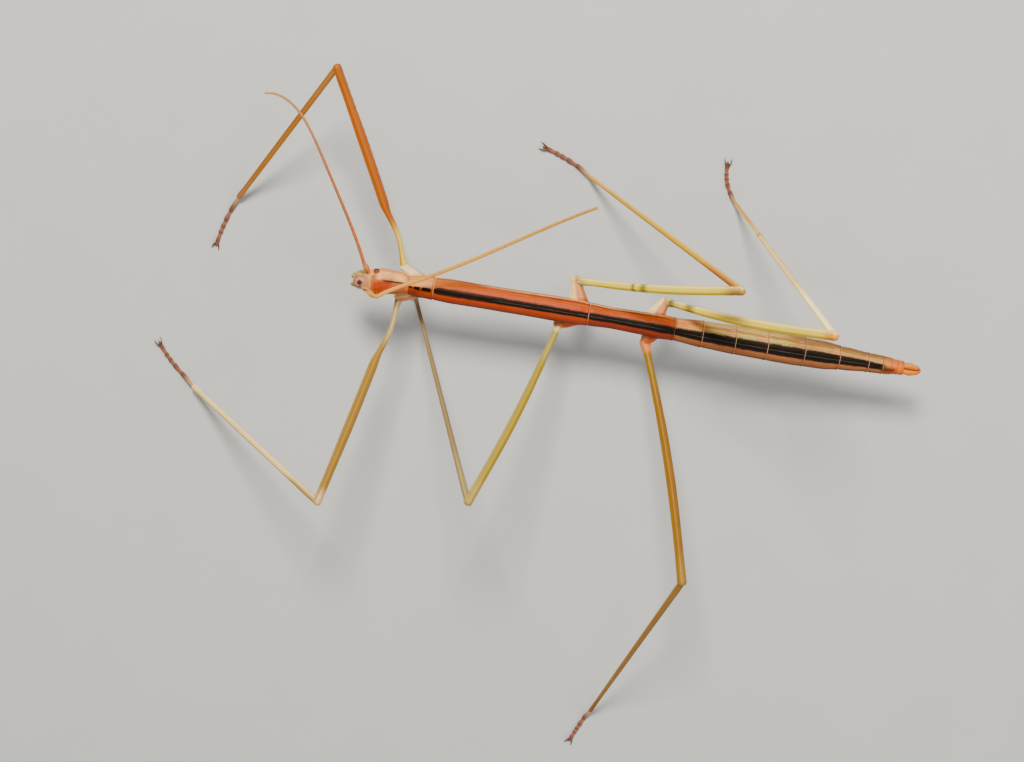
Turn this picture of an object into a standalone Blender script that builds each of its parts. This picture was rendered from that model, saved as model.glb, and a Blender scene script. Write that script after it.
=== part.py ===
"""Giant stick insect, a long slender female phasmid, standing still on its six feet.

Units are metres, +Z is up.  The head looks along +X and the insect's left is +Y.  The feet stand
on the plane Z = 0, and the model's origin is the middle of its footprint.  Every named sub-part of
the body is one closed solid: head, eyes, mouthparts, feelers, thorax, abdomen and the leg joints.
"""
from dataclasses import dataclass
from math import asin, cos, degrees, pi, radians, sin

import bmesh
import bpy
from mathutils import Matrix, Vector

MM = 0.001
GAP = 0.3 * MM                      # clear space between two neighbouring solids

# --- body line -------------------------------------------------------------------------------
AXIS_HEIGHT = 23.4 * MM             # body axis above the floor, over the middle legs
AXIS_SLOPE = 0.023                  # the head is carried a little higher than the tail
DRIFT = 0.9 * MM                    # the abdomen swings this far to the left
DRIFT_LENGTH = 75 * MM

# Stations along the body, measured on X from a point near the middle legs.
NECK = 49.9 * MM
PROTHORAX_END = 41.7 * MM
MESOTHORAX_END = -6.9 * MM
METATHORAX_END = -34.0 * MM
ABDOMEN_ENDS = [x * MM for x in (-42.8, -53.2, -63.3, -75.0, -86.0, -95.2, -99.8, -102.6, -104.5, -106.1)]

# Half widths of trunk and abdomen at the stations that shape their outline.
TRUNK_WIDTHS = [(x * MM, w * MM) for x, w in (
    (50.0, 3.0), (46.0, 3.45), (41.7, 3.55), (36.0, 3.8), (28.0, 3.75), (14.0, 3.8), (2.0, 3.95),
    (-3.5, 3.95), (-7.0, 3.65), (-14.0, 3.35), (-22.0, 3.55), (-29.0, 3.85), (-34.0, 3.6),
    (-43.0, 4.2), (-53.0, 4.5), (-70.0, 4.65), (-80.0, 4.45), (-88.0, 3.65), (-95.0, 3.05),
    (-100.0, 2.85), (-104.2, 2.3), (-108.0, 2.05), (-110.2, 1.55), (-111.3, 0.95), (-111.8, 0.45))]
TRUNK_HEIGHT_RATIO = 0.9            # the trunk is slightly flatter than it is wide
TAIL_FLATTEN_START = -95 * MM       # behind this the lower side rises to leave room for the operculum
TAIL_FLATTEN_END = -101 * MM
TAIL_BELLY_RATIO = 0.32
RIM = 0.12 * MM                     # how far the hind rim of a segment stands out
CERCUS_END = -111.8 * MM            # the two cerci lie side by side and make the tip of the tail
OPERCULUM_START = -98.2 * MM
OPERCULUM_END = -109.6 * MM
OPERCULUM_DEPTH = 1.75 * MM
OPERCULUM_TAPER = 0.72              # share of that depth lost towards its end
OPERCULUM_EDGE = 0.15 * MM
OPERCULUM_WIDTH_RATIO = 0.78

# --- head ------------------------------------------------------------------------------------
HEAD_LENGTH = 17.5 * MM
HEAD_TURN = 2.0 * MM                # the mouth points this far to the left of the body's line
# Station ahead of the neck, half width, height of the crown and depth of the underside.
HEAD_RINGS = [tuple(v * MM for v in ring) for ring in (
    (0.3, 2.75, 2.5, 2.8), (1.4, 3.25, 3.0, 3.2), (3.9, 3.65, 3.4, 3.5), (7.0, 3.95, 3.55, 3.6),
    (9.7, 4.0, 3.35, 3.6), (11.6, 3.6, 2.85, 3.5), (13.0, 3.15, 2.2, 3.35), (14.2, 2.7, 1.6, 3.1))]
LABRUM_RINGS = [tuple(v * MM for v in ring) for ring in (
    (14.5, 1.6, 1.3, 1.3), (15.3, 1.6, 1.1, 1.45), (16.2, 1.35, 0.7, 1.5), (16.9, 0.8, 0.2, 1.3))]
EYE_PLACE = (10.1 * MM, 4.2 * MM, 1.95 * MM)
EYE_RADII = (0.88 * MM, 0.56 * MM, 0.6 * MM)
# Joints of a palp, ahead of the neck, out and up, with the tube's radius there.
PALP_PATH = [tuple(v * MM for v in joint) for joint in (
    (13.3, 2.25, -3.95, 0.48), (15.0, 2.25, -3.4, 0.6), (16.4, 1.95, -2.75, 0.52),
    (17.2, 1.4, -2.35, 0.58), (17.6, 0.7, -2.3, 0.36))]

# --- feelers ---------------------------------------------------------------------------------
SOCKET_PLACE = (12.4 * MM, 3.1 * MM, 1.35 * MM)
SCAPE_LENGTH = 2.7 * MM
PEDICEL_LENGTH = 1.2 * MM
SCAPE_RADIUS = 0.88 * MM
PEDICEL_RADIUS = 0.66 * MM
FEELER_BASE_RADIUS = 0.58 * MM
FEELER_TIP_RADIUS = 0.38 * MM
FEELER_PIECES = 2
FEELER_STEPS = 14                   # curve points in each piece of a feeler


@dataclass(frozen=True)
class Feeler:
    """Course of one feeler: its headings and rises are in degrees, from +X towards +Y and +Z."""

    side: int
    length: float
    scape_heading: float
    scape_rise: float
    standoff: float                 # the scape starts this far out along its own line
    heading: float                  # where the lash sets out
    sweep: float                    # change of heading over the whole lash
    bow: float                      # further change that grows with the square of the way
    hook: float                     # sharp curl at the very tip
    elbow: float                    # quick turn just behind the pedicel
    rise: float
    droop: float                    # change of rise over the whole lash


FEELERS = {
    "right": Feeler(-1, 73.9 * MM, -61, 32, 0.9 * MM, -73.7, 36.8, -38.4, 92, 0, 38, -22),
    "left": Feeler(1, 79.1 * MM, 172, 57, 1.1 * MM, -155.9, 38.5, -30.1, 0, 19, 14, 0),
}


# --- legs ------------------------------------------------------------------------------------
@dataclass(frozen=True)
class LegShape:
    """Sizes of one pair of legs.

    The femur's widths belong to the listed ways from the hip to the knee.  The widths of the
    tibia are those below the knee, in the middle and above the foot.
    """

    station: float                  # middle of the coxa's root on the body
    femur: float
    tibia: float
    tarsus: float
    femur_ways: tuple
    femur_widths: tuple
    tibia_widths: tuple
    base_bow: float                 # the femur's base curves this far backwards
    bow: float                      # and the whole femur this far


@dataclass(frozen=True)
class LegPose:
    """How one leg stands; angles in degrees from +X towards +Y, and up from level."""

    hip: tuple                      # where the coxa ends: along, out and up from the body axis
    femur_heading: float
    femur_rise: float
    tibia_heading: float
    tarsus_heading: float
    tarsus_turn: float


THIGH_WAYS = (0.0, 0.12, 0.24, 0.4, 0.6, 0.88, 0.97)
LEG_SHAPES = {
    "front": LegShape(46.2 * MM, 68.7 * MM, 68.7 * MM, 17.2 * MM,
                      (0.0, 0.12, 0.24, 0.32, 0.6, 0.88, 0.97),
                      (1.5, 1.45, 1.7, 2.6, 2.7, 2.35, 2.45), (1.75, 1.65, 1.55), 1.0 * MM, 0.3 * MM),
    "mid": LegShape(-3.6 * MM, 67.0 * MM, 80.4 * MM, 16.4 * MM, THIGH_WAYS,
                    (1.6, 1.8, 2.05, 2.25, 2.4, 2.35, 2.5), (1.85, 1.35, 1.05), 0.0, 1.1 * MM),
    "hind": LegShape(-30.2 * MM, 75.7 * MM, 83.6 * MM, 12.6 * MM, THIGH_WAYS,
                     (1.7, 2.0, 2.25, 2.5, 2.6, 2.5, 2.7), (1.9, 1.45, 1.15), 0.0, 1.4 * MM),
}
LEG_POSES = {
    ("right", "front"): LegPose((51.8, 4.5, -3.0), -65.1, 13.3, 61.4, 64.0, 16.0),
    ("left", "front"): LegPose((52.0, 5.2, -3.0), 77.1, 22.7, -17.9, -33.0, -20.0),
    ("right", "mid"): LegPose((-1.2, 9.0, -3.0), -161.3, 42.0, -15.7, -31.0, 16.0),
    ("left", "mid"): LegPose((1.7, 5.6, -3.2), 69.0, 39.7, -57.9, -13.4, 16.0),
    ("right", "hind"): LegPose((-29.6, 7.4, -3.0), -164.9, 50.9, -32.3, -44.0, -46.0),
    ("left", "hind"): LegPose((-25.7, 6.5, -3.0), 109.3, 22.3, 75.1, 66.0, 4.0),
}
COXA_HALF_LENGTH = 2.7 * MM         # of its root, along the body
COXA_HALF_ANGLE = 33                # of its root, round the body, in degrees
COXA_ANGLE = -24                    # middle of its root, in degrees below the body's side
ROOT_CLEARANCE = 0.45 * MM          # between the coxa's root and the round trunk
HIP_RADIUS = 1.1 * MM
HIP_REACH = 1.75 * MM               # the femur starts this far from the hip's middle
BASE_BOW_SHARE = 0.32               # the curve of a femur's base fades out this far along
FEMUR_DEPTH_RATIO = 0.82            # depth of a femur for its width
SHIN_DEPTH_RATIO = 0.9
ANKLE_HEIGHT = 2.1 * MM
SOLE_HEIGHT = 0.5 * MM              # the foot's own axis above the floor, less than its half width
# Ends of the five foot joints as shares of the tarsus, with the half width there.
FOOT_JOINTS = ((0.36, 0.72), (0.56, 0.74), (0.70, 0.72), (0.81, 0.72), (1.0, 0.66))
FOOT_WAIST = 0.52                   # half width between two foot joints, in mm
CLAW_LENGTH = 2.3 * MM
CLAW_SPREAD = 1.1 * MM
CLAW_RADIUS = 0.36 * MM
CLAW_ARCH = 0.35 * MM               # the claws rise and come down again to their tips
CLAW_DROP = 0.2 * MM

TRUNK_SIDES = 16
LIMB_SIDES = 10
SHANK_SIDES = 8

COLOURS = {
    "head": ((0.72, 0.47, 0.30), 0.45), "mouth": ((0.52, 0.45, 0.20), 0.45), "eye": ((0.13, 0.05, 0.02), 0.2),
    "thorax": ((0.74, 0.26, 0.07), 0.42), "abdomen": ((0.62, 0.36, 0.17), 0.42), "tail": ((0.85, 0.38, 0.09), 0.42),
    "feeler": ((0.72, 0.38, 0.16), 0.45), "coxa": ((0.78, 0.58, 0.34), 0.45), "femur": ((0.62, 0.45, 0.14), 0.45),
    "tibia": ((0.58, 0.42, 0.22), 0.45), "foot": ((0.24, 0.11, 0.05), 0.45), "claw": ((0.07, 0.03, 0.02), 0.3),
}


def smooth(t):
    """Ease from 0 to 1."""
    t = min(max(t, 0.0), 1.0)
    return t * t * (3 - 2 * t)


def read_curve(pairs, x):
    """Value at x on a smooth run through (x, value) pairs that are listed by falling x."""
    if x >= pairs[0][0]:
        return pairs[0][1]
    for (x0, v0), (x1, v1) in zip(pairs[:-1], pairs[1:]):
        if x >= x1:
            return v0 + (v1 - v0) * smooth((x0 - x) / (x0 - x1))
    return pairs[-1][1]


def direction(heading, rise):
    """Unit vector for a heading and a rise in degrees."""
    a, e = radians(heading), radians(rise)
    return Vector((cos(a) * cos(e), sin(a) * cos(e), sin(e)))


def axis_point(x):
    """Point of the body's axis at station x."""
    return Vector((x, DRIFT * smooth(-x / DRIFT_LENGTH), AXIS_HEIGHT + AXIS_SLOPE * x))


def trunk_radii(x):
    """Half width, half height above and half height below the axis at station x."""
    width = read_curve(TRUNK_WIDTHS, x)
    above = width * TRUNK_HEIGHT_RATIO
    flatten = smooth((TAIL_FLATTEN_START - x) / (TAIL_FLATTEN_START - TAIL_FLATTEN_END))
    return width, above, above * (1 - flatten * (1 - TAIL_BELLY_RATIO))


def trunk_point(x, angle, grow=0.0):
    """Point of the trunk's skin at station x; the angle runs from the left side over the back."""
    width, above, below = trunk_radii(x)
    height = above if sin(angle) > 0 else below
    return axis_point(x) + Vector((0, (width + grow) * cos(angle), (height + grow) * sin(angle)))


def ring_angles(sides):
    """Angles of a ring's corners, set so that edges and not corners lie on top."""
    return [2 * pi * (k + 0.5) / sides for k in range(sides)]


# --- makers ----------------------------------------------------------------------------------
def material(kind):
    """The named finish of a kind of sub-part, made once."""
    name = "finish_" + kind
    found = bpy.data.materials.get(name)
    if found:
        return found
    colour, roughness = COLOURS[kind]
    made = bpy.data.materials.new(name)
    made.use_nodes = True
    shader = made.node_tree.nodes["Principled BSDF"]
    shader.inputs["Base Color"].default_value = (*colour, 1)
    shader.inputs["Roughness"].default_value = roughness
    shader.inputs["Metallic"].default_value = 0.0
    made.diffuse_color = (*colour, 1)
    return made


def place(name, data, kind, parent):
    """Wrap mesh or curve data in a named object of the model's collection."""
    obj = bpy.data.objects.new(name, data)
    data.materials.append(material(kind))
    bpy.data.collections["giant_stick_insect"].objects.link(obj)
    obj.parent = parent
    return obj


def clip(bm, point, normal):
    """Cut a closed mesh by a plane, take away what lies on the normal's side and close the cut."""
    cut = bmesh.ops.bisect_plane(bm, geom=[*bm.verts, *bm.edges, *bm.faces], plane_co=point, plane_no=normal,
                                 clear_outer=True)
    edges = [part for part in cut["geom_cut"] if isinstance(part, bmesh.types.BMEdge)]
    if edges:
        bmesh.ops.edgeloop_fill(bm, edges=edges)


def loft(name, rings, kind, parent, cap_centre=None, cut=None):
    """Closed solid through rings of equal length; the first cap may be a fan round a centre.

    A cut is a point and a normal: what lies on the normal's side of that plane is taken away.
    """
    bm = bmesh.new()
    rows = [[bm.verts.new(p) for p in ring] for ring in rings]
    for row, following in zip(rows[:-1], rows[1:]):
        for k in range(len(row)):
            j = (k + 1) % len(row)
            bm.faces.new((row[k], row[j], following[j], following[k]))
    if cap_centre is None:
        bm.faces.new(list(reversed(rows[0])))
    else:
        hub = bm.verts.new(cap_centre)
        for k in range(len(rows[0])):
            bm.faces.new((hub, rows[0][(k + 1) % len(rows[0])], rows[0][k]))
    bm.faces.new(rows[-1])
    if cut:
        clip(bm, *cut)
    bmesh.ops.recalc_face_normals(bm, faces=bm.faces)
    mesh = bpy.data.meshes.new(name)
    bm.to_mesh(mesh)
    bm.free()
    mesh.shade_smooth()
    mesh.set_sharp_from_angle(angle=radians(50))
    return place(name, mesh, kind, parent)


def tube(name, points, radii, kind, parent):
    """Round tapering tube along points."""
    curve = bpy.data.curves.new(name, "CURVE")
    curve.dimensions = "3D"
    curve.bevel_depth = 1.0
    curve.bevel_resolution = 2
    curve.use_fill_caps = True
    spline = curve.splines.new("POLY")
    spline.points.add(len(points) - 1)
    for spot, point, radius in zip(spline.points, points, radii):
        spot.co = (*point, 1)
        spot.radius = radius
    return place(name, curve, kind, parent)


def limb_ring(centre, along, up, half_width, half_depth, sides):
    """Oval ring square to a limb; up settles which way its depth lies."""
    across = along.cross(up).normalized()
    over = across.cross(along)
    return [centre + across * (half_width * cos(a)) + over * (half_depth * sin(a)) for a in ring_angles(sides)]


# --- trunk -----------------------------------------------------------------------------------
def trunk_segment(name, start, end, steps, kind, parent):
    """One segment of the trunk from its front station to its hind one, with a raised hind rim."""
    front, back = start - GAP / 2, end + GAP / 2
    stations = [front + (back - front) * k / steps for k in range(steps + 1)]
    rings = []
    for k, x in enumerate(stations):
        grow = RIM if k == steps else 0.0
        rings.append([trunk_point(x, a, grow) for a in ring_angles(TRUNK_SIDES)])
    return loft(name, rings, kind, parent)


def build_trunk(parent):
    """Thorax and abdomen, front to back, and the plate and feelers at the tail."""
    trunk_segment("prothorax", NECK, PROTHORAX_END, 4, "thorax", parent)
    trunk_segment("mesothorax", PROTHORAX_END, MESOTHORAX_END, 10, "thorax", parent)
    trunk_segment("metathorax", MESOTHORAX_END, METATHORAX_END, 7, "thorax", parent)
    start = METATHORAX_END
    for number, end in enumerate(ABDOMEN_ENDS, start=1):
        name = "median_segment" if number == 1 else "abdomen_%d" % number
        kind = "tail" if number > 7 else "abdomen"
        trunk_segment(name, start, end, 3, kind, parent)
        start = end
    build_operculum(parent)
    for side_name, side in (("left", 1), ("right", -1)):
        build_cercus(side_name, side, parent)


def build_operculum(parent):
    """Boat-shaped plate under the last segments."""
    steps = 5
    rings = []
    for k in range(steps + 1):
        t = k / steps
        x = OPERCULUM_START + (OPERCULUM_END - OPERCULUM_START) * t
        width, _, belly = trunk_radii(x)
        depth = OPERCULUM_DEPTH * (1 - OPERCULUM_TAPER * t * t) + OPERCULUM_EDGE
        keel = axis_point(x) - Vector((0, 0, belly + GAP * 1.3))
        half = width * OPERCULUM_WIDTH_RATIO
        rings.append([keel + Vector((0, half * cos(a), depth * min(sin(a), 0.0))) for a in ring_angles(12)])
    return loft("operculum", rings, "tail", parent)


def build_cercus(side_name, side, parent):
    """One of the two leaf-shaped cerci: half of the tail's tip, on its own side of the middle."""
    start, steps = ABDOMEN_ENDS[-1] - GAP, 5
    rings = [[trunk_point(start + (CERCUS_END - start) * k / steps, a) for a in ring_angles(TRUNK_SIDES)]
             for k in range(steps + 1)]
    middle = axis_point(start) + Vector((0, side * GAP / 2, 0))
    return loft("cercus_" + side_name, rings, "tail", parent, cut=(middle, Vector((0, -side, 0))))


# --- head ------------------------------------------------------------------------------------
def head_point(ahead, out, up):
    """Point of the head, ahead of the neck, to its left and up; the head turns to the left."""
    turn = HEAD_TURN * (ahead / HEAD_LENGTH) ** 2
    return axis_point(NECK) + Vector((ahead, turn + out, AXIS_SLOPE * ahead + up))


def head_ring(ring, sides):
    """Ring of the head with its own height above and below the axis."""
    ahead, width, above, below = ring
    middle = head_point(ahead, 0, (above - below) / 2)
    half = (above + below) / 2
    return [middle + Vector((0, width * cos(a), half * sin(a))) for a in ring_angles(sides)]


def build_head(parent):
    """Skull capsule with upper lip, eyes, palps and feelers."""
    loft("head", [head_ring(r, TRUNK_SIDES) for r in HEAD_RINGS], "head", parent)
    loft("labrum", [head_ring(r, 12) for r in LABRUM_RINGS], "mouth", parent)
    for side_name, side in (("left", 1), ("right", -1)):
        build_eye(side_name, side, parent)
        build_palp(side_name, side, parent)
        build_feeler(side_name, parent)


def build_eye(side_name, side, parent):
    """Small oval eye on the side of the head, just behind the feeler."""
    bm = bmesh.new()
    bmesh.ops.create_uvsphere(bm, u_segments=12, v_segments=8, radius=1.0)
    ahead, out, up = EYE_PLACE
    centre = head_point(ahead, side * out, up)
    bmesh.ops.transform(bm, matrix=Matrix.Translation(centre) @ Matrix.Diagonal((*EYE_RADII, 1)), verts=bm.verts)
    mesh = bpy.data.meshes.new("eye_" + side_name)
    bm.to_mesh(mesh)
    bm.free()
    mesh.shade_smooth()
    return place("eye_" + side_name, mesh, "eye", parent)


def build_palp(side_name, side, parent):
    """Jointed palp curling round the mouth from the cheek."""
    points = [head_point(ahead, side * out, up) for ahead, out, up, _ in PALP_PATH]
    return tube("palp_" + side_name, points, [joint[3] for joint in PALP_PATH], "mouth", parent)


def lash_points(feeler, start):
    """Points along the lash from its start, evenly spaced."""
    count = FEELER_PIECES * FEELER_STEPS
    step = feeler.length / count
    points = [start]
    for k in range(count):
        t = (k + 0.5) / count
        heading = (feeler.heading + feeler.sweep * t + feeler.bow * t * t + feeler.hook * t ** 8
                   + feeler.elbow * (1 - t) ** 12)
        points.append(points[-1] + step * direction(heading, feeler.rise + feeler.droop * t))
    return points


def build_feeler(side_name, parent):
    """Scape with pedicel, then the lash in a few lengths."""
    feeler = FEELERS[side_name]
    aim = direction(feeler.scape_heading, feeler.scape_rise)
    ahead, out, up = SOCKET_PLACE
    socket = head_point(ahead, feeler.side * out, up) + aim * feeler.standoff
    neck = socket + aim * SCAPE_LENGTH
    end = neck + aim * PEDICEL_LENGTH
    ways = [socket, socket.lerp(neck, 0.35), socket.lerp(neck, 0.8), neck, neck.lerp(end, 0.6), end]
    radii = [0.6 * SCAPE_RADIUS, SCAPE_RADIUS, 0.9 * SCAPE_RADIUS, 0.62 * SCAPE_RADIUS,
             PEDICEL_RADIUS, 0.83 * PEDICEL_RADIUS]
    tube("scape_" + side_name, ways, radii, "feeler", parent)
    points = lash_points(feeler, end)
    total = len(points) - 1
    for piece in range(FEELER_PIECES):
        first, last = piece * FEELER_STEPS, (piece + 1) * FEELER_STEPS
        run = [p.copy() for p in points[first:last + 1]]
        away = (run[1] - run[0]).normalized()
        turn = away.angle(aim) if piece == 0 else 0.0
        run[0] += away * (GAP + FEELER_BASE_RADIUS * sin(turn))
        sizes = [FEELER_BASE_RADIUS + (FEELER_TIP_RADIUS - FEELER_BASE_RADIUS) * k / total
                 for k in range(first, last + 1)]
        tube("feeler_%s_%d" % (side_name, piece + 1), run, sizes, "feeler", parent)


# --- legs ------------------------------------------------------------------------------------
def build_coxa(name, side, shape, hip, parent):
    """First joint of a leg: a cone from an oval root that hugs the trunk to the hip."""
    middle = radians(COXA_ANGLE)
    root = []
    for a in ring_angles(LIMB_SIDES):
        x = shape.station + COXA_HALF_LENGTH * cos(a)
        angle = middle + radians(COXA_HALF_ANGLE) * sin(a)
        point = trunk_point(x, angle if side > 0 else pi - angle, ROOT_CLEARANCE)
        root.append(point)
    hub = trunk_point(shape.station, middle if side > 0 else pi - middle, ROOT_CLEARANCE)
    normal = Vector((0, side, 0)).lerp((hip - hub).normalized(), 0.75).normalized()
    fore = (Vector((1, 0, 0)) - normal * normal.x).normalized()
    over = Vector((0, 0, 1)) - normal * normal.z
    over = (over - fore * over.dot(fore)).normalized()
    end = [hip + (fore * cos(a) + over * sin(a)) * HIP_RADIUS for a in ring_angles(LIMB_SIDES)]
    rings = [root]
    for t in (0.35, 0.72):
        taper = 1 - (1 - t) ** 2
        centre = hub.lerp(hip, t)
        rings.append([centre + (p - hub).lerp(q - hip, taper) for p, q in zip(root, end)])
    rings.append(end)
    return loft("coxa_" + name, rings, "coxa", parent, cap_centre=hub)


def knee_plane(hip, knee, ankle):
    """Normal of the plane that parts thigh and shin, pointing to the shin's side."""
    return ((knee - hip).normalized() + (ankle - knee).normalized()).normalized()


def build_femur(name, side, shape, hip, knee, ankle, parent):
    """Trochanter and thigh in one, ending in a rounded knee that is cut where the shin begins."""
    along = (knee - hip).normalized()
    up = Vector((0, 0, 1))
    backward = side * up.cross(along).normalized()
    first = HIP_REACH / shape.femur
    rings = []
    for way, width in zip(shape.femur_ways, shape.femur_widths):
        t = first + (1 - first) * way
        bow = shape.bow * sin(pi * t) + shape.base_bow * sin(pi * min(t / BASE_BOW_SHARE, 1.0)) ** 2
        centre = hip.lerp(knee, t) + backward * bow
        rings.append(limb_ring(centre, along, up, width / 2 * MM, FEMUR_DEPTH_RATIO * width / 2 * MM, LIMB_SIDES))
    knee_half = shape.femur_widths[-1] / 2 * MM
    for ahead, share in ((0.0, 1.0), (0.45, 0.86), (0.85, 0.5)):
        rings.append(limb_ring(knee + along * (ahead * knee_half), along, up, share * knee_half,
                               share * FEMUR_DEPTH_RATIO * knee_half, LIMB_SIDES))
    normal = knee_plane(hip, knee, ankle)
    return loft("femur_" + name, rings, "femur", parent, cut=(knee - normal * (GAP / 2), normal))


def build_tibia(name, shape, hip, knee, ankle, parent):
    """Slender shin from the knee to the ankle."""
    along = (ankle - knee).normalized()
    up = Vector((0, 0, 1))
    top, middle, low = (w / 2 * MM for w in shape.tibia_widths)
    stations = [(-0.8 * top / shape.tibia, 0.6 * top), (-0.3 * top / shape.tibia, 0.95 * top), (0.02, top),
                (0.3, 0.55 * middle + 0.45 * top), (0.6, middle), (0.93, low), (0.985, 1.12 * low), (1.0, 0.95 * low)]
    rings = [limb_ring(knee.lerp(ankle, t), along, up, half, SHIN_DEPTH_RATIO * half, SHANK_SIDES)
             for t, half in stations]
    normal = knee_plane(hip, knee, ankle)
    return loft("tibia_" + name, rings, "tibia", parent, cut=(knee + normal * (GAP / 2), -normal))


def foot_path(shape, pose, ankle):
    """Function from the share of the foot's length to its axis point."""
    def at(share):
        steps = 24
        point = Vector((ankle.x, ankle.y, 0))
        for k in range(steps):
            t = share * (k + 0.5) / steps
            point += direction(pose.tarsus_heading + pose.tarsus_turn * t, 0) * (shape.tarsus * share / steps)
        drop = smooth(share / 0.3)
        point.z = ankle.z * (1 - drop) + SOLE_HEIGHT * drop
        return point
    return at


def build_tarsus(name, shape, pose, ankle, parent):
    """Foot of five joints lying on small flat soles."""
    at = foot_path(shape, pose, ankle)
    first = (0.95 * shape.tibia_widths[2] / 2 * MM + GAP * 1.6) / shape.tarsus
    ways = [(first, 0.5), (first + 0.03, 0.62)]
    start = first
    for end, half in FOOT_JOINTS:
        if start > first:
            ways.append((start + 0.02, FOOT_WAIST))
        ways.append((start + 0.62 * (end - start), half))
        ways.append((end - 0.015, 0.9 * half))
        start = end
    rings = []
    for share, half in ways:
        centre = at(share)
        along = (at(share + 0.01) - at(share - 0.01)).normalized()
        ring = limb_ring(centre, along, Vector((0, 0, 1)), half * MM, 0.95 * half * MM, SHANK_SIDES)
        for point in ring:
            point.z = max(point.z, 0.0)
        rings.append(ring)
    return loft("tarsus_" + name, rings, "foot", parent)


def build_claws(name, shape, pose, ankle, parent):
    """Pair of claws, one horseshoe that is open forwards."""
    at = foot_path(shape, pose, ankle)
    along = (at(1.0) - at(0.98)).normalized()
    across = Vector((-along.y, along.x, 0))
    root = at(1.0) + along * (CLAW_RADIUS + 0.5 * GAP)
    points, radii = [], []
    for k in range(-3, 4):
        t = abs(k) / 3
        reach = CLAW_LENGTH * t ** 1.4
        out = CLAW_SPREAD * sin(pi / 2 * t) * (1 if k > 0 else -1)
        point = root + along * reach + across * out
        point.z = SOLE_HEIGHT + CLAW_ARCH * sin(pi * t) - CLAW_DROP * t
        points.append(point)
        radii.append(CLAW_RADIUS * (1 - 0.3 * t))
    return tube("claws_" + name, points, radii, "claw", parent)


def build_leg(side_name, pair, parent):
    """All joints of one leg, from the trunk to the claws."""
    side = 1 if side_name == "left" else -1
    shape, pose = LEG_SHAPES[pair], LEG_POSES[side_name, pair]
    name = "%s_%s" % (side_name, pair)
    station, out, up = (v * MM for v in pose.hip)
    hip = axis_point(station) + Vector((0, side * out, up))
    knee = hip + direction(pose.femur_heading, pose.femur_rise) * shape.femur
    fall = -degrees(asin((knee.z - ANKLE_HEIGHT) / shape.tibia))
    ankle = knee + direction(pose.tibia_heading, fall) * shape.tibia
    build_coxa(name, side, shape, hip, parent)
    build_femur(name, side, shape, hip, knee, ankle, parent)
    build_tibia(name, shape, hip, knee, ankle, parent)
    build_tarsus(name, shape, pose, ankle, parent)
    build_claws(name, shape, pose, ankle, parent)


def centre_on_footprint(root):
    """Move the model so that the middle of its bounds stands over the origin."""
    bpy.context.view_layer.update()
    graph = bpy.context.evaluated_depsgraph_get()
    corners = [obj.matrix_world @ Vector(corner)
               for obj in bpy.data.collections["giant_stick_insect"].objects if obj.type in ("MESH", "CURVE")
               for corner in obj.evaluated_get(graph).bound_box]
    for axis in (0, 1):
        values = [corner[axis] for corner in corners]
        root.location[axis] = -(min(values) + max(values)) / 2
    bpy.context.view_layer.update()


def main():
    """Build the insect from an empty scene."""
    for obj in list(bpy.data.objects):
        bpy.data.objects.remove(obj)
    model = bpy.data.collections.new("giant_stick_insect")
    bpy.context.scene.collection.children.link(model)
    root = bpy.data.objects.new("insect_root", None)
    model.objects.link(root)
    build_trunk(root)
    build_head(root)
    for pair in LEG_SHAPES:
        for side_name in ("left", "right"):
            build_leg(side_name, pair, root)
    centre_on_footprint(root)


main()
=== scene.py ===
"""Dressed model of a giant stick insect standing on its six feet.

Every piece is worked out in body coordinates: X ahead, Y to the insect's left, Z up from the
floor, in metres, and counted from a station near the middle legs.  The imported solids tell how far
that station lies from the frame's origin.  Colours are red, green and blue from 0 to 255.
"""

import logging
from dataclasses import dataclass, field
from enum import Enum
from functools import cache, partial
from math import asin, cos, degrees, pi, radians, sin
from typing import Callable, Sequence

import bmesh
import bpy
import numpy as np
from mathutils import Matrix, Vector


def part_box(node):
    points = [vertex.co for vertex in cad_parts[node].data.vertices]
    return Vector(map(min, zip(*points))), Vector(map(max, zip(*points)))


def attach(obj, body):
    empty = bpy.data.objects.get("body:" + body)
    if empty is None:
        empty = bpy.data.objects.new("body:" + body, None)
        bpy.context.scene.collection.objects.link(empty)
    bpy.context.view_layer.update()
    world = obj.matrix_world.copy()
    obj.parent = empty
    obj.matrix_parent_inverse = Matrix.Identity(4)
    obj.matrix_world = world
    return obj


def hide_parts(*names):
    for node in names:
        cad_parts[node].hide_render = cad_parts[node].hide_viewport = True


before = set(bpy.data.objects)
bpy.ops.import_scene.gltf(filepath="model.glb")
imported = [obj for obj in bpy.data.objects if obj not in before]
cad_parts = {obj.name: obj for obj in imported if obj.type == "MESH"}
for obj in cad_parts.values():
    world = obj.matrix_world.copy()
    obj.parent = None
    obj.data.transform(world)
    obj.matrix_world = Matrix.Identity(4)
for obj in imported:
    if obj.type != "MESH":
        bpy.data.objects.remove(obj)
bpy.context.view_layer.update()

LOG = logging.getLogger("stick_insect")
MM = 0.001
GAP = 0.3 * MM                      # clear space between two solids
Triple = tuple[float, float, float]
Curve = tuple[tuple[float, float], ...]
Relief = Callable[[np.ndarray, np.ndarray], np.ndarray]


# --- shared shape of the animal ---------------------------------------------------------------
class Side(Enum):
    """Left or right half of the insect; the value is the sign of Y."""

    LEFT = 1
    RIGHT = -1

    @property
    def word(self) -> str:
        """Name of the side as the solids spell it."""
        return self.name.lower()


class Pair(Enum):
    """The three pairs of legs."""

    FRONT = "front"
    MID = "mid"
    HIND = "hind"


def smooth(t: float | np.ndarray) -> float | np.ndarray:
    """Ease from 0 to 1, held at both ends."""
    t = np.clip(t, 0.0, 1.0)
    return t * t * (3 - 2 * t)


def bell(x: float | np.ndarray, width: float) -> float | np.ndarray:
    """Bell curve of height one round zero, fallen to 0.37 at its width."""
    return np.exp(-(x / width) ** 2)


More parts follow.
